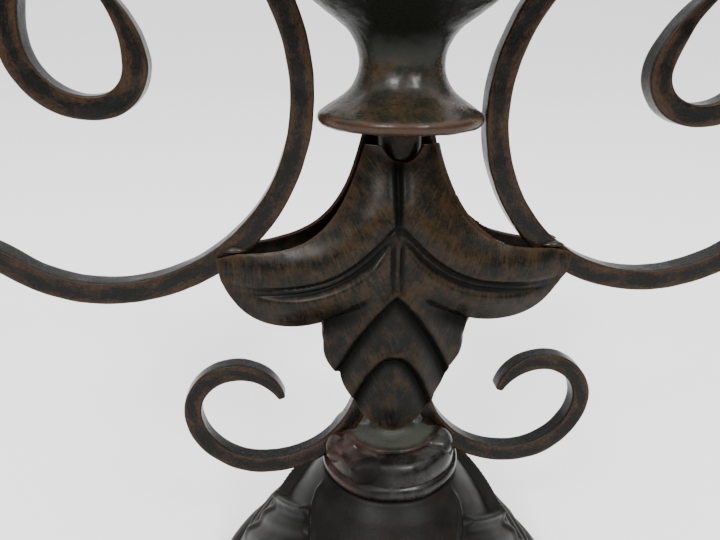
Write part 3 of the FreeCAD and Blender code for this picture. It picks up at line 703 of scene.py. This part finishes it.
def leafVeins(x, z, apex, toSpine, onCrease):
    # the vein's folds, and the crease above it, with painted shade in the grooves and the crease
    r = leafRelief
    veinZ = leafVein(x)
    fade = softStep(leafShape["tipX"] - x, *r["veinFade"])
    farAbove = -9.0     # no fold reaches up beside the crease
    beside = np.where(z > veinZ, farAbove, veinZ - z)
    away = np.where(onCrease, beside, np.where(z > veinZ, -toSpine, toSpine))
    rise, foldShadeAndDark = np.zeros(len(x)), np.zeros(len(x))
    for place, half, lowHalf, height in veinFolds:
        starts = softStep(x, r["foldFrom"] * place, r["foldTo"] * place + r["foldRun"])
        wave = hump(away, place, np.where(away > place, lowHalf, half)) * fade * starts
        rise = rise + height * wave
        if height < 0.0:
            foldShadeAndDark = foldShadeAndDark + r["foldShade"] * wave
    fromApex = z - apex
    crease = hump(x, 0.0, r["creaseHalf"]) * softStep(fromApex, *r["creaseFrom"])
    shade = hump(x, 0.0, r["creaseShadeHalf"]) * softStep(fromApex, *r["creaseShadeFrom"])
    return rise - r["crease"] * crease, foldShadeAndDark + crease + r["foldShade"] * shade


def leafTiers(x, z, depth):
    # the tiers below the lobes, each a step behind the one above
    s, r = leafShape, leafRelief
    foot = r["stemDepth"] + 2.0 * r["step"]
    belly = r["tipDepth"] + r["bulge"] - foot
    tuck = softStep(x, *r["tuckFrom"])
    tier = foot + belly * softStep(z - leafLow, r["tierFoot"], r["lobeApexUp"])
    tier = tier - r["tierRoll"] * (x / s["tierHalf"]) ** 2 - r["lobeStep"] * tuck
    widest = s["tierHalf"] + s["tierLean"]
    onTier = softStep(widest - x, *r["tierFade"])
    border, soft = lobeBorder(x), r["lobeRamp"] * (1.0 - r["tuckSharp"] * tuck)
    lobe = 1.0 - (1.0 - softStep(z, border - soft, border + soft)) * onTier
    depth = depth * lobe + tier * (1.0 - lobe)
    # painted shade under the lobe's border and in the hollow below each step
    foldShadeAndDark = tuck * onTier * hump(border - z, *r["tuckShade"])
    ridged = np.zeros(len(x))
    onStep = softStep(x, widest, s["tierHalf"] - r["stepFade"])
    for line in (tierBorder, tongueBorder):
        lean = (line(x + r["lineStep"]) - line(x)) / r["lineStep"]
        under = (line(x) - z) / np.sqrt(1.0 + lean ** 2)
        drop = softStep(under, *r["stepFrom"])
        hollow = drop * np.exp(-np.maximum(under, 0.0) / r["hollowRun"])
        bead = hump(under, r["beadPlace"], r["beadHalf"])
        depth = depth + (r["bead"] * bead - r["step"] * drop - r["hollow"] * hollow) * onStep
        foldShadeAndDark = foldShadeAndDark + hump(under, *r["hollowShade"]) * onStep
        ridged = ridged + hump(under, *r["beadRub"]) * onStep
    return depth, foldShadeAndDark, ridged


def leafSpine(x, z, apex):
    # a fine rib between two grooves below the crease, with painted shade in the grooves, and a low rib down
    # the tongue
    r = leafRelief
    up = z - leafLow
    fade = softStep(up, *r["spineFrom"]) * softStep(z - apex, *r["spineTop"])
    groove = hump(x, r["spineHalf"], r["spineGrooveHalf"]) * fade
    rib = hump(x, 0.0, r["spineRibHalf"]) * fade
    lowRib = hump(x, 0.0, r["lowRibHalf"]) * softStep(up, *r["lowRibTop"]) * softStep(up, *r["lowRibFoot"])
    return r["spineRib"] * rib - r["spineGroove"] * groove + r["lowRib"] * lowRib, r["foldShade"] * groove


def leafSurface(x, z):
    # how far the sheet's outer face stands from the middle plane, how much painted shade it gets in its folds
    # and how much darker it is towards the bottom, and its ridges
    s, r = leafShape, leafRelief
    fromStem = np.abs(x)
    # the spine lies a little to the left, and the tips are even
    x = np.abs(x + r["offCentre"] * np.maximum(0.0, 1.0 - (x / (r["offCentreReach"] * s["tipX"])) ** 2))
    apex = float(leafVein(np.array(0.0)))
    creaseZ, veinX = np.linspace(leafHigh, apex, 700), np.linspace(0.0, s["tipX"] - r["veinEnd"], 1200)
    spine = np.concatenate([np.stack([np.zeros(len(creaseZ)), creaseZ], axis=1),
                            np.stack([veinX, leafVein(veinX)], axis=1)])
    nearSpine, toSpine = nearest(np.stack([x, z], axis=1), spine)
    onCrease = nearSpine[:, 1] > apex - 0.01
    veinRise, veinFold = leafVeins(x, z, apex, toSpine, onCrease)
    depth = leafPanels(x, z, apex, nearSpine, toSpine, onCrease) + veinRise
    depth, tierFold, ridged = leafTiers(x, z, depth)
    spineRise, spineFold = leafSpine(x, z, apex)
    depth = depth + spineRise
    # the rim stays off the middle plane, the tips lie on the bars and the middle clears the stem
    depth = 0.5 * (depth + r["edgeDepth"] + np.sqrt((depth - r["edgeDepth"]) ** 2 + r["edgeSoft"] ** 2))
    nearTip = softStep(x / s["tipX"], *r["tipFrom"])
    depth = depth + nearTip * np.maximum(0.0, r["tipDepth"] - depth)
    stem = np.sqrt(np.maximum(0.0, r["stem"] ** 2 - fromStem ** 2)) + r["stemGap"]
    depth = np.where(fromStem < r["stem"], np.maximum(depth, stem), depth)
    # darker towards the bottom of the leaf
    lowDark = r["lowDark"] * softStep(z - leafLow, *r["lowDarkFrom"])
    return depth, np.clip(veinFold + tierFold + spineFold + lowDark, 0.0, 1.0), ridged


def cutLeaf(outline, fine):
    # a flat grid cut to the outline, with its border drawn onto the line
    s = leafShape
    wide, tall = 2.0 * s["tipX"] + s["margin"], leafHigh - leafLow + 2.0 * s["tongueDip"] + s["margin"]
    columns, rows = round(wide / s["cell"]), round(tall / s["cell"])
    clearSelection()
    bpy.ops.mesh.primitive_grid_add(x_subdivisions=columns, y_subdivisions=rows, size=1.0)
    obj = bpy.context.object
    sheet = bmesh.new()
    sheet.from_mesh(obj.data)
    for vertex in sheet.verts:
        vertex.co = (vertex.co.x * wide, 0.0, vertex.co.y * tall + 0.5 * (leafLow + leafHigh))
    centres = np.array([face.calc_center_median().xz for face in sheet.faces])
    kept = insideOutline(centres, outline)
    outside = [face for face, keep in zip(list(sheet.faces), kept) if not keep]
    bmesh.ops.delete(sheet, geom=outside, context="FACES")
    border = [v for v in sheet.verts if v.is_boundary]
    snapped = nearestOnLine(np.array([v.co.xz for v in border]), fine)[0]
    for vertex, spot in zip(border, snapped):
        vertex.co.x, vertex.co.z = spot
    bmesh.ops.remove_doubles(sheet, verts=border, dist=s["mergeShare"] * s["cell"])
    border = [v for v in sheet.verts if v.is_boundary]
    inner = {e.other_vert(v) for v in border for e in v.link_edges} - set(border)
    bmesh.ops.smooth_vert(sheet, verts=list(inner), factor=0.5,
                          use_axis_x=True, use_axis_y=False, use_axis_z=True)
    sheet.to_mesh(obj.data)
    sheet.free()
    return obj


def pressPanels(obj, onPanel):
    sheet = bmesh.new()
    sheet.from_mesh(obj.data)
    panel = [vertex for vertex, inside in zip(sheet.verts, onPanel) if inside]
    for press in range(leafShape["pressings"]):
        bmesh.ops.smooth_vert(sheet, verts=panel, factor=0.5,
                              use_axis_x=False, use_axis_y=True, use_axis_z=False)
    sheet.to_mesh(obj.data)
    sheet.free()


def stampLeaf():
    s, r = leafShape, leafRelief
    outline = leafOutline()
    fine = evenSpots(outline, s["outlinePitch"])
    obj = cutLeaf(outline, fine)
    spots = places(obj)
    x, z = spots[:, 0], spots[:, 2]
    depth, foldShadeAndDark, ridged = leafSurface(x, z)
    toEdge = nearest(spots[:, [0, 2]], fine)[1]
    spots[:, 1] = -depth
    setPlaces(obj, spots * mm)
    # the broad upper panels are pressed smooth, clear of the vein, the crease and the edge
    onPanel = (z > leafVein(np.abs(x)) + s["pressFromVein"]) & (toEdge > s["pressFromEdge"])
    pressPanels(obj, onPanel & (np.abs(x - s["creaseX"]) > s["pressFromCrease"]))
    setPoints(obj, "rub", np.clip(np.exp(-toEdge / r["rubWidth"]) + r["ridgeRub"] * ridged, 0.0, 1.0))
    # painted shade: the folds are darkened and lose their shine
    setPoints(obj, "shadeAndDark", foldShadeAndDark)
    editAll(obj)
    bpy.ops.mesh.normals_make_consistent(inside=False)
    bpy.ops.object.mode_set(mode="OBJECT")
    if sum(face.normal.y for face in obj.data.polygons) > 0.0:
        editAll(obj)
        bpy.ops.mesh.flip_normals()
        bpy.ops.object.mode_set(mode="OBJECT")
    applyModifier(obj, "SOLIDIFY", "sheetThickness", thickness=s["sheet"] * mm, offset=-1.0,
                  use_quality_normals=True)
    return obj


frontLeaf = stampLeaf()
pickOnly(frontLeaf)
bpy.ops.object.duplicate()
backLeaf = bpy.context.object
backLeaf.data.transform(Matrix.Scale(-1.0, 4, (0.0, 1.0, 0.0)))
backLeaf.data.flip_normals()
# the back leaf's horns reach higher
spots = places(backLeaf)
nearHorns = softStep(spots[:, 2], (leafHigh - leafShape["backRiseRun"]) * mm, leafHigh * mm)
spots[:, 2] += leafShape["backRise"] * mm * nearHorns
setPlaces(backLeaf, spots)
finishPiece(frontLeaf, "frontLeaf", leafPaint, "stand", "leaf_paint", "front_leaf", smoothAngle=60.0)
finishPiece(backLeaf, "backLeaf", leafPaint, "stand", "leaf_paint", "back_leaf", smoothAngle=60.0)


# Turned pieces: an outline of radius and height, in millimetres, spun round the stem's axis

def drawOutline(outline, pitch, low):
    spots = evenSpots(outline, pitch)
    clearSelection()
    bpy.ops.mesh.primitive_circle_add(vertices=len(spots))
    obj = bpy.context.object
    setPlaces(obj, np.stack([spots[:, 0] * mm, np.zeros(len(spots)), spots[:, 1] * mm + low], axis=1))
    return obj, spots


def turnRound(obj, turns):
    editAll(obj)
    bpy.ops.mesh.spin(steps=turns, angle=2.0 * math.pi, center=(0.0, 0.0, 0.0), axis=(0.0, 0.0, 1.0))
    bpy.ops.object.mode_set(mode="OBJECT")
    mendNormals(obj, mergeBelow=0.005 * mm)


# Candle cups: one turned shape, copied to the three seats

cupShape = {
    "footFlat": 25.9, "rim": (27.7, 2.2), "rimTop": (26.7, 4.2),
    "neck": 14.0, "neckHeight": 19.6, "coveRadius": 12.94, "coveTurn": 236.4,
    "sweepRadius": 14.5, "flareTurn": 53.0, "bowlRadius": 36.0, "bowlTurn": 12.0, "turnHeight": 49.4,
    "lipHeight": 56.4, "lipRound": 1.4, "wall": 2.8, "floor": 37.7, "hole": 3.06,
    "pitch": 0.75, "turns": 220, "lumpSize": 5.0 * mm, "lump": 0.32 * mm,
    "grainSize": 1.9 * mm, "grain": 0.13 * mm, "rimRub": (5.2, 3.2), "rimRubInside": 20.0, "lipRub": 3.0,
    "blackFrom": 16.5, "blackTo": 31.0, "black": 0.9,
}


def cupOutline():
    c = cupShape
    line = [(c["hole"], 0.0)]
    line += arcThrough((c["footFlat"], 0.0), c["rim"], c["rimTop"], 8)
    cove = (c["neck"] + c["coveRadius"], c["neckHeight"])
    sweep = (c["neck"] + c["sweepRadius"], c["neckHeight"])
    line += arcPoints(cove, c["coveRadius"], c["coveTurn"], 180.0, 14)
    line += arcPoints(sweep, c["sweepRadius"], 180.0, 180.0 - c["flareTurn"], 14)
    turnMiddle = (c["bowlRadius"] - c["bowlTurn"], c["turnHeight"])
    lipMiddle = (c["bowlRadius"] - c["lipRound"], c["lipHeight"] - c["lipRound"])
    line += arcPoints(turnMiddle, c["bowlTurn"], -c["flareTurn"], 0.0, 10)
    line += arcPoints(lipMiddle, c["lipRound"], 0.0, 180.0, 8)
    line += arcPoints(turnMiddle, c["bowlTurn"] - c["wall"], 0.0, -c["flareTurn"], 8)
    lowX, lowZ = line[-1]
    line.append((lowX - (lowZ - c["floor"]) / math.tan(math.radians(90.0 - c["flareTurn"])), c["floor"]))
    line.append((c["hole"], c["floor"]))
    return line


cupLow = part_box("centre_cup")[0].z
cup, cupSpots = drawOutline(cupOutline(), cupShape["pitch"], cupLow)
cupR, cupZ = cupSpots.T
rimRub = softStep(cupZ, *cupShape["rimRub"]) * (cupR > cupShape["rimRubInside"])
lipRub = softStep(cupZ, cupShape["lipHeight"] - cupShape["lipRub"], cupShape["lipHeight"])
setPoints(cup, "rub", np.clip(rimRub + lipRub, 0.0, 1.0))
setPoints(cup, "shadeAndDark", cupShape["black"] * softStep(cupZ, cupShape["blackFrom"], cupShape["blackTo"]))
turnRound(cup, cupShape["turns"])
hammer(cup, "cupLumps", cupShape["lumpSize"], cupShape["lump"])
hammer(cup, "cupGrain", cupShape["grainSize"], cupShape["grain"])
for seat in ("left", "centre", "right"):
    pickOnly(cup)
    bpy.ops.object.duplicate()
    piece = bpy.context.object
    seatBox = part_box(seat + "_cup")
    shift = Vector((0.5 * (seatBox[0].x + seatBox[1].x), 0.0, seatBox[0].z - cupLow))
    piece.data.transform(Matrix.Translation(shift))
    finishPiece(piece, seat + "Cup", cupPaint, seat + "_cup_body", "bronze_paint", seat + "_cup")
bpy.data.objects.remove(cup)


# Stem: a tube with a boss under the middle cup

stemShape = {"bore": 3.25, "radius": 6.85, "boss": 7.45, "bossLow": 12.0, "bossRound": 2.0, "paintedShade": 0.15,
             "pitch": 0.8, "turns": 96}
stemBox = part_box("stem_tube")


def stemOutline():
    s = stemShape
    height = (stemBox[1].z - stemBox[0].z) / mm
    low = height - s["bossLow"]
    return [(s["bore"], 0.0), (s["radius"], 0.0), (s["radius"], low), (s["boss"], low + s["bossRound"]),
            (s["boss"], height), (s["bore"], height)]


stem = drawOutline(stemOutline(), stemShape["pitch"], stemBox[0].z)[0]
turnRound(stem, stemShape["turns"])
# painted shade: the stem, under the middle cup and between the leaves, is darkened and loses some shine all
# over
setPoints(stem, "shadeAndDark", np.full(len(stem.data.vertices), stemShape["paintedShade"]))
finishPiece(stem, "stemTube", leafPaint, "stand", "bronze_paint", "stem_tube")


# Base: a cast dome with a plain tongue front and back and a curled leaf on each side

baseShape = {
    "low": 1.5, "foot": 75.0, "footTop": 7.5, "footRound": 8.5, "ledge": 66.0, "stepTop": 19.5,
    "top": 72.2, "topRadius": 26.4, "swell": -0.65,
    "wall": 3.5, "wallSlant": 1.25, "ceiling": 68.7, "hole": 3.1,
    "carveLow": 0.5, "carveTop": 1.0, "carveIn": 2.0, "carveNear": 1.0,
    "pitch": 1.0, "turns": 400, "lumpSize": 14.0 * mm, "lump": 0.35 * mm,
}
# a pair is where something starts and where it is whole
domeRelief = {
    "facing": -10.5, "backShare": 0.6, "tongueLift": 0.7, "tongueEdge": (1.0, -2.0), "topFade": (1.0, 7.0),
    "ridge": 1.1, "ridgeHalf": 1.1, "grooveShade": 0.5, "groovePlace": 2.6, "grooveHalf": 1.2,
    "leafTop": 51.0, "leafLow": 22.0, "leafFoot": 5.0, "leafSlope": 0.62, "leafRise": 2.3,
    "leafStart": (0.0, 4.0), "leafInset": (0.5, 5.0), "lobePitch": 9.5, "lobePlace": 3.0, "lobeFloor": 0.35,
    "curl": 2.4, "curlPlace": 3.4, "curlHalf": 2.8, "midrib": 1.2, "midribHalf": 1.6, "rubHeight": 4.0,
}
# half the tongue's angle at rising heights
tongueTurn = ((20.0, 30.0), (40.0, 37.0), (54.0, 43.0), (58.0, 50.0), (62.0, 58.0), (66.0, 62.0),
              (72.2, 63.0))


def domeLine(offset):
    b = baseShape
    top, low = (b["topRadius"] - offset, b["top"]), (b["ledge"] - offset, b["stepTop"])
    run = (low[0] - top[0], low[1] - top[1])
    swell = b["swell"] / math.hypot(*run)
    middle = (0.5 * (top[0] + low[0]) - swell * run[1], 0.5 * (top[1] + low[1]) + swell * run[0])
    return arcThrough(low, middle, top, 40)


def baseOutline():
    b = baseShape
    line = [(b["foot"] - b["wall"], b["low"]), (b["foot"], b["low"])]
    line += arcPoints((b["foot"] - b["footRound"], b["footTop"]), b["footRound"], 0.0, 90.0, 8)
    line += [(b["ledge"], b["footTop"] + b["footRound"])] + domeLine(0.0)
    line += [(b["hole"], b["top"]), (b["hole"], b["ceiling"])]
    inner = [spot for spot in domeLine(b["wallSlant"] * b["wall"])[::-1] if spot[1] < b["ceiling"]]
    return line + [(inner[0][0], b["ceiling"])] + inner


def castRelief(angle, z, radius):
    d = domeRelief
    # 0 in the middle of the front tongue and of the narrower back one, 90 in the middle of each leaf
    turn = np.abs((np.degrees(angle) + 90.0 - d["facing"] + 180.0) % 360.0 - 180.0)
    narrow = np.where(turn > 90.0, d["backShare"], 1.0)
    turn = np.minimum(turn, 180.0 - turn)
    fromTongue = np.radians(turn - np.interp(z, *zip(*tongueTurn)) * narrow) * radius
    ridge = d["ridge"] * hump(fromTongue, 0.0, d["ridgeHalf"])
    lift = d["tongueLift"] * softStep(fromTongue, *d["tongueEdge"]) + ridge
    lift = lift * softStep(baseShape["top"] - z, *d["topFade"])
    # lobes rise from the leaf's middle towards the tongues, the topmost curled over
    aside = np.radians(90.0 - turn) * radius
    down = d["leafTop"] + d["leafSlope"] * aside - z
    body = softStep(down, *d["leafStart"]) * softStep(fromTongue, *d["leafInset"])
    body = body * softStep(z, d["leafLow"], d["leafLow"] + d["leafFoot"])
    lobes = 0.5 + 0.5 * np.cos(2.0 * math.pi * (down - d["lobePlace"]) / d["lobePitch"])
    midrib = hump(aside, 0.0, d["midribHalf"])
    leaf = d["leafRise"] * (d["lobeFloor"] + (1.0 - d["lobeFloor"]) * lobes) + d["midrib"] * midrib
    leaf = leaf + d["curl"] * hump(down, d["curlPlace"], d["curlHalf"])
    # painted shade in the valleys between the lobes and in the grooves beside the tongues
    groove = d["grooveShade"] * hump(fromTongue, d["groovePlace"], d["grooveHalf"])
    shadeAndDark = body * (1.0 - lobes) ** 2 * (1.0 - midrib) + groove
    return lift * (1.0 - body) + leaf * body, np.clip(shadeAndDark, 0.0, 1.0)


def onDomeFace(radius, z):
    # only the outer face between the step and the top is carved
    b = baseShape
    lineR, lineZ = zip(*domeLine(0.0))
    between = (z > b["stepTop"] + b["carveLow"]) & (z < b["top"] - b["carveTop"])
    onLine = np.abs(np.interp(z, lineZ, lineR) - radius) < b["carveNear"]
    return between & onLine & (radius > b["topRadius"] - b["carveIn"])


base, baseSpots = drawOutline(baseOutline(), baseShape["pitch"], 0.0)
setPoints(base, "carved", onDomeFace(*baseSpots.T))
turnRound(base, baseShape["turns"])
spots = places(base)
carved = np.zeros(len(spots), np.float32)
base.data.attributes["carved"].data.foreach_get("value", carved)
normals = np.array([v.normal for v in base.data.vertices])
reach = np.hypot(spots[:, 0], spots[:, 1]) / mm
relief, shadeAndDark = castRelief(np.arctan2(spots[:, 1], spots[:, 0]), spots[:, 2] / mm, reach)
setPlaces(base, spots + normals * (relief * carved * mm)[:, None])
setPoints(base, "rub", np.clip(relief / domeRelief["rubHeight"], 0.0, 1.0) * carved)
setPoints(base, "shadeAndDark", shadeAndDark * carved)
hammer(base, "castLumps", baseShape["lumpSize"], baseShape["lump"])
finishPiece(base, "baseDome", castPaint, "stand", "base_paint", "base_dome", smoothAngle=55.0)


# Collar under the scrolls, with its welds

collarShape = {"foot": 24.8, "roll": (27.2, 3.0), "waist": (25.3, 6.4), "shoulder": (25.1, 11.0),
               "slope": (23.2, 14.3), "height": 16.5, "topRadius": 17.5, "topEdge": (0.8, 0.6), "hole": 3.1,
               "pitch": 0.8, "turns": 180, "lumpSize": 11.0 * mm, "lump": 0.8 * mm}
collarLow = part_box("base_collar")[0].z
# lumps of weld and thick paint: place and half sizes, in millimetres, heights above the collar's foot
weldLumps = (((-20.0, -5.0, 10.8), (6.6, 9.0, 5.6)), ((-16.0, -9.0, 11.8), (6.0, 6.0, 4.4)),
             ((18.2, -8.5, 13.4), (5.6, 6.6, 5.2)), ((15.4, -11.4, 14.0), (4.2, 3.6, 3.8)),
             ((-8.0, -14.2, 14.2), (7.0, 3.4, 2.4)), ((-11.0, -20.6, 10.6), (7.2, 4.2, 5.4)),
             ((-18.5, 6.0, 10.4), (5.6, 6.6, 4.8)), ((18.0, 7.0, 10.8), (5.6, 5.8, 4.8)),
             ((3.0, 17.0, 12.6), (6.5, 3.6, 3.2)))
weldShape = {"rimRadius": 17.6, "rimThick": 1.3, "poolRadius": 17.0, "poolThick": 2.4,
             "coneRadius": 11.0, "coneTop": 7.3, "coneHeight": 3.4,
             "voxel": 0.7 * mm, "smooth": 14, "lumpSize": 6.0 * mm, "lump": 1.1 * mm}
meltedPaint = {"dark": (0.0042, 0.0040, 0.0034), "grey": (0.0150, 0.0148, 0.0128),
               "red": (0.0215, 0.0105, 0.0072), "pool": (0.034, 0.0355, 0.0290),
               "blotchSize": 150.0, "greyFrom": 0.42, "greyTo": 0.62,
               "redBlotch": 0.7, "redPlace": 0.34, "redFrom": 0.48, "redTo": 0.66, "redShare": 0.9,
               "rough": (0.16, 0.34), "sootRough": 0.4, "sootMatt": 0.8, "specular": 0.15}
# where the paint is grey, red and sooty; a pair is where something starts and where it is whole
meltedPlace = {"poolFacing": (0.55, 0.9), "poolReach": (18.5, 15.5), "poolTop": (-2.0, -0.4),
               "rimOut": 0.6, "rimHalf": 1.0, "rimTop": (-3.0, -0.5), "redSide": (0.0, 20.0), "red": 0.8,
               "soot": (-11.0, -23.0, 10.6), "sootSpread": 8.0}


def collarOutline():
    c = collarShape
    roll = arcThrough((c["foot"], 0.0), c["roll"], c["waist"], 10)
    bell = arcThrough(c["waist"], c["shoulder"], c["slope"], 12)
    edgeIn, edgeDown = c["topEdge"]
    top = [(c["topRadius"], c["height"] - edgeDown), (c["topRadius"] - edgeIn, c["height"]),
           (c["hole"], c["height"])]
    return [(c["hole"], 0.0)] + roll + bell[1:] + top


def meltedFinish(name):
    p = meltedPaint
    material, tree, shader, coords = newFinish(name)
    blotch = noise(tree, coords, p["blotchSize"])
    soot = attribute(tree, "soot")
    grey = ramp(tree, blotch, (p["greyFrom"], 0.0), (p["greyTo"], 1.0))
    redness = weigh(tree, (blotch, p["redBlotch"]), (attribute(tree, "red"), p["redPlace"]))
    red = ramp(tree, redness, (p["redFrom"], 0.0), (p["redTo"], p["redShare"]))
    colour = mixColour(tree, grey, p["dark"], p["grey"])
    colour = mixColour(tree, red, colour, p["red"])
    colour = mixColour(tree, attribute(tree, "pool"), colour, p["pool"])
    colour = mixColour(tree, soot, colour, p["dark"])
    rough = weigh(tree, (spread(tree, blotch, *noiseSpan, *p["rough"]), 1.0), (soot, p["sootRough"]))
    matt = calc(tree, "SUBTRACT", 1.0, calc(tree, "MULTIPLY", soot, p["sootMatt"]))
    feed(tree, shader, {"Base Color": colour, "Roughness": rough,
                        "Specular IOR Level": calc(tree, "MULTIPLY", matt, p["specular"])})
    return material


def tintMelted(obj):
    m = meltedPlace
    spots = places(obj) / mm - np.array((0.0, 0.0, collarLow / mm))
    reach = np.hypot(spots[:, 0], spots[:, 1])
    fromTop = spots[:, 2] - collarShape["height"]
    facing = np.array([v.normal.z for v in obj.data.vertices])
    pool = softStep(facing, *m["poolFacing"]) * softStep(reach, *m["poolReach"])
    pool = pool * softStep(fromTop, *m["poolTop"])
    rim = hump(reach, weldShape["rimRadius"] + m["rimOut"], m["rimHalf"]) * softStep(fromTop, *m["rimTop"])
    red = m["red"] * (softStep(-spots[:, 0], *m["redSide"]) + rim)
    setPoints(obj, "pool", pool)
    setPoints(obj, "red", np.clip(red, 0.0, 1.0))
    setPoints(obj, "soot", hump(np.linalg.norm(spots - np.array(m["soot"]), axis=1), 0.0, m["sootSpread"]))


def meltWelds():
    w = weldShape
    top = collarLow + collarShape["height"] * mm
    made = []
    for place, half in weldLumps:
        spot = (place[0] * mm, place[1] * mm, collarLow + place[2] * mm)
        clearSelection()
        bpy.ops.mesh.primitive_uv_sphere_add(segments=32, ring_count=16, radius=1.0, location=spot)
        bpy.context.object.scale = [size * mm for size in half]
        made.append(bpy.context.object)
    clearSelection()
    bpy.ops.mesh.primitive_torus_add(major_radius=w["rimRadius"] * mm, minor_radius=w["rimThick"] * mm,
                                     major_segments=96, minor_segments=16, location=(0.0, 0.0, top))
    made.append(bpy.context.object)
    clearSelection()
    bpy.ops.mesh.primitive_cylinder_add(vertices=96, radius=w["poolRadius"] * mm, depth=w["poolThick"] * mm,
                                        location=(0.0, 0.0, top))
    made.append(bpy.context.object)
    clearSelection()
    bpy.ops.mesh.primitive_cone_add(vertices=64, radius1=w["coneRadius"] * mm, radius2=w["coneTop"] * mm,
                                    depth=w["coneHeight"] * mm,
                                    location=(0.0, 0.0, top + 0.5 * w["coneHeight"] * mm))
    made.append(bpy.context.object)
    clearSelection()
    for obj in made:
        obj.select_set(True)
    bpy.context.view_layer.objects.active = made[0]
    bpy.ops.object.join()
    obj = bpy.context.object
    bpy.ops.object.transform_apply(location=True, rotation=True, scale=True)
    applyModifier(obj, "REMESH", "melt", mode="VOXEL", voxel_size=w["voxel"])
    applyModifier(obj, "SMOOTH", "flow", factor=0.5, iterations=w["smooth"])
    hammer(obj, "weldLumps", w["lumpSize"], w["lump"])
    return obj


weldPaint = meltedFinish("meltedBronze")
collar = drawOutline(collarOutline(), collarShape["pitch"], collarLow)[0]
turnRound(collar, collarShape["turns"])
hammer(collar, "meltedPaint", collarShape["lumpSize"], collarShape["lump"])
tintMelted(collar)
finishPiece(collar, "baseCollar", weldPaint, "stand", "base_paint", "base_collar")
welds = meltWelds()
tintMelted(welds)
finishPiece(welds, "collarWelds", weldPaint, "stand", "base_paint", "collar_weld_beads", smoothAngle=70.0)


# Floor, light and camera

studio = {"floorWide": 24.0, "floorBack": 2.0, "cove": 1.0, "wall": 2.0, "floorShade": (0.82, 0.82, 0.82),
          "floorGrain": 35.0, "grainShade": 0.985, "floorRough": 0.8,
          "overhead": 3.45, "horizon": 0.10, "glowFrom": 0.15, "glowTo": 0.95, "aim": (0.0, 0.0, 0.15)}
softBoxes = {
    "leftBox": {"place": (-0.66, -1.06, 1.16), "size": 0.30, "power": 23.0},
    "rightBox": {"place": (0.57, -1.10, 1.16), "size": 0.28, "power": 17.5},
}
viewpoint = {"place": (-0.0345, -0.221, 0.2402), "lens": 33.0, "sensor": 36.0, "nearest": 0.01,
             "pitch": 21.0, "heading": 5.6, "roll": 0.7}


def layFloor():
    s = studio
    clearSelection()
    middle = s["floorBack"] - 0.5 * s["floorWide"]
    bpy.ops.mesh.primitive_plane_add(size=s["floorWide"], location=(0.0, middle, 0.0))
    floor = bpy.context.object
    bpy.ops.object.transform_apply(location=True)
    for vertex in floor.data.vertices:
        vertex.select = vertex.co.y > s["floorBack"] - 0.01
    for edge in floor.data.edges:
        edge.select = all(floor.data.vertices[k].select for k in edge.vertices)
    floor.data.polygons[0].select = False
    bpy.ops.object.mode_set(mode="EDIT")
    bpy.ops.mesh.select_mode(type="EDGE")
    bpy.ops.mesh.spin(steps=16, angle=-0.5 * math.pi, center=(0.0, s["floorBack"], s["cove"]),
                      axis=(1.0, 0.0, 0.0))
    bpy.ops.mesh.extrude_region_move(TRANSFORM_OT_translate={"value": (0.0, 0.0, s["wall"])})
    bpy.ops.mesh.select_mode(type="VERT")
    bpy.ops.object.mode_set(mode="OBJECT")
    bpy.ops.object.shade_smooth()
    floor.name = "studioFloor"
    material, tree, shader, coords = newFinish("paleFloor")
    grain = noise(tree, coords, s["floorGrain"], detail=3.0)
    darker = tuple(s["grainShade"] * shade for shade in s["floorShade"])
    feed(tree, shader, {"Base Color": mixColour(tree, grain, s["floorShade"], darker),
                        "Roughness": s["floorRough"]})
    floor.data.materials.append(material)


def hangLights():
    s = studio
    world = bpy.context.scene.world or bpy.data.worlds.new("studioWorld")
    bpy.context.scene.world = world
    world.use_nodes = True
    tree = world.node_tree
    # a bright ceiling over a dim room
    up = addNode(tree, "SeparateXYZ", {0: addNode(tree, "TexCoord").outputs["Generated"]}).outputs[2]
    glow = spread(tree, up, s["glowFrom"], s["glowTo"], s["horizon"], s["overhead"],
                  interpolation_type="SMOOTHSTEP")
    feed(tree, tree.nodes["Background"], {"Color": (1.0, 1.0, 1.0), "Strength": glow})
    for name, box in softBoxes.items():
        clearSelection()
        bpy.ops.object.light_add(type="AREA", location=box["place"])
        lamp = bpy.context.object
        lamp.name = name
        lamp.data.size = box["size"]
        lamp.data.energy = box["power"]
        lamp.rotation_euler = (Vector(s["aim"]) - Vector(box["place"])).to_track_quat("-Z", "Y").to_euler()


def setCamera():
    v = viewpoint
    pitch, heading, roll = (math.radians(v[key]) for key in ("pitch", "heading", "roll"))
    flat = math.cos(pitch)
    forward = Vector((math.sin(heading) * flat, math.cos(heading) * flat, -math.sin(pitch)))
    level = Vector((math.cos(heading), -math.sin(heading), 0.0))
    up = level.cross(forward)
    right = math.cos(roll) * level + math.sin(roll) * up
    top = math.cos(roll) * up - math.sin(roll) * level
    clearSelection()
    bpy.ops.object.camera_add(location=v["place"])
    camera = bpy.context.object
    camera.name = "photoCamera"
    camera.rotation_euler = Matrix((right, top, -forward)).transposed().to_euler()
    camera.data.sensor_width = v["sensor"]
    camera.data.lens = v["lens"]
    camera.data.clip_start = v["nearest"]
    bpy.context.scene.camera = camera


layFloor()
hangLights()
setCamera()
print("studio set")
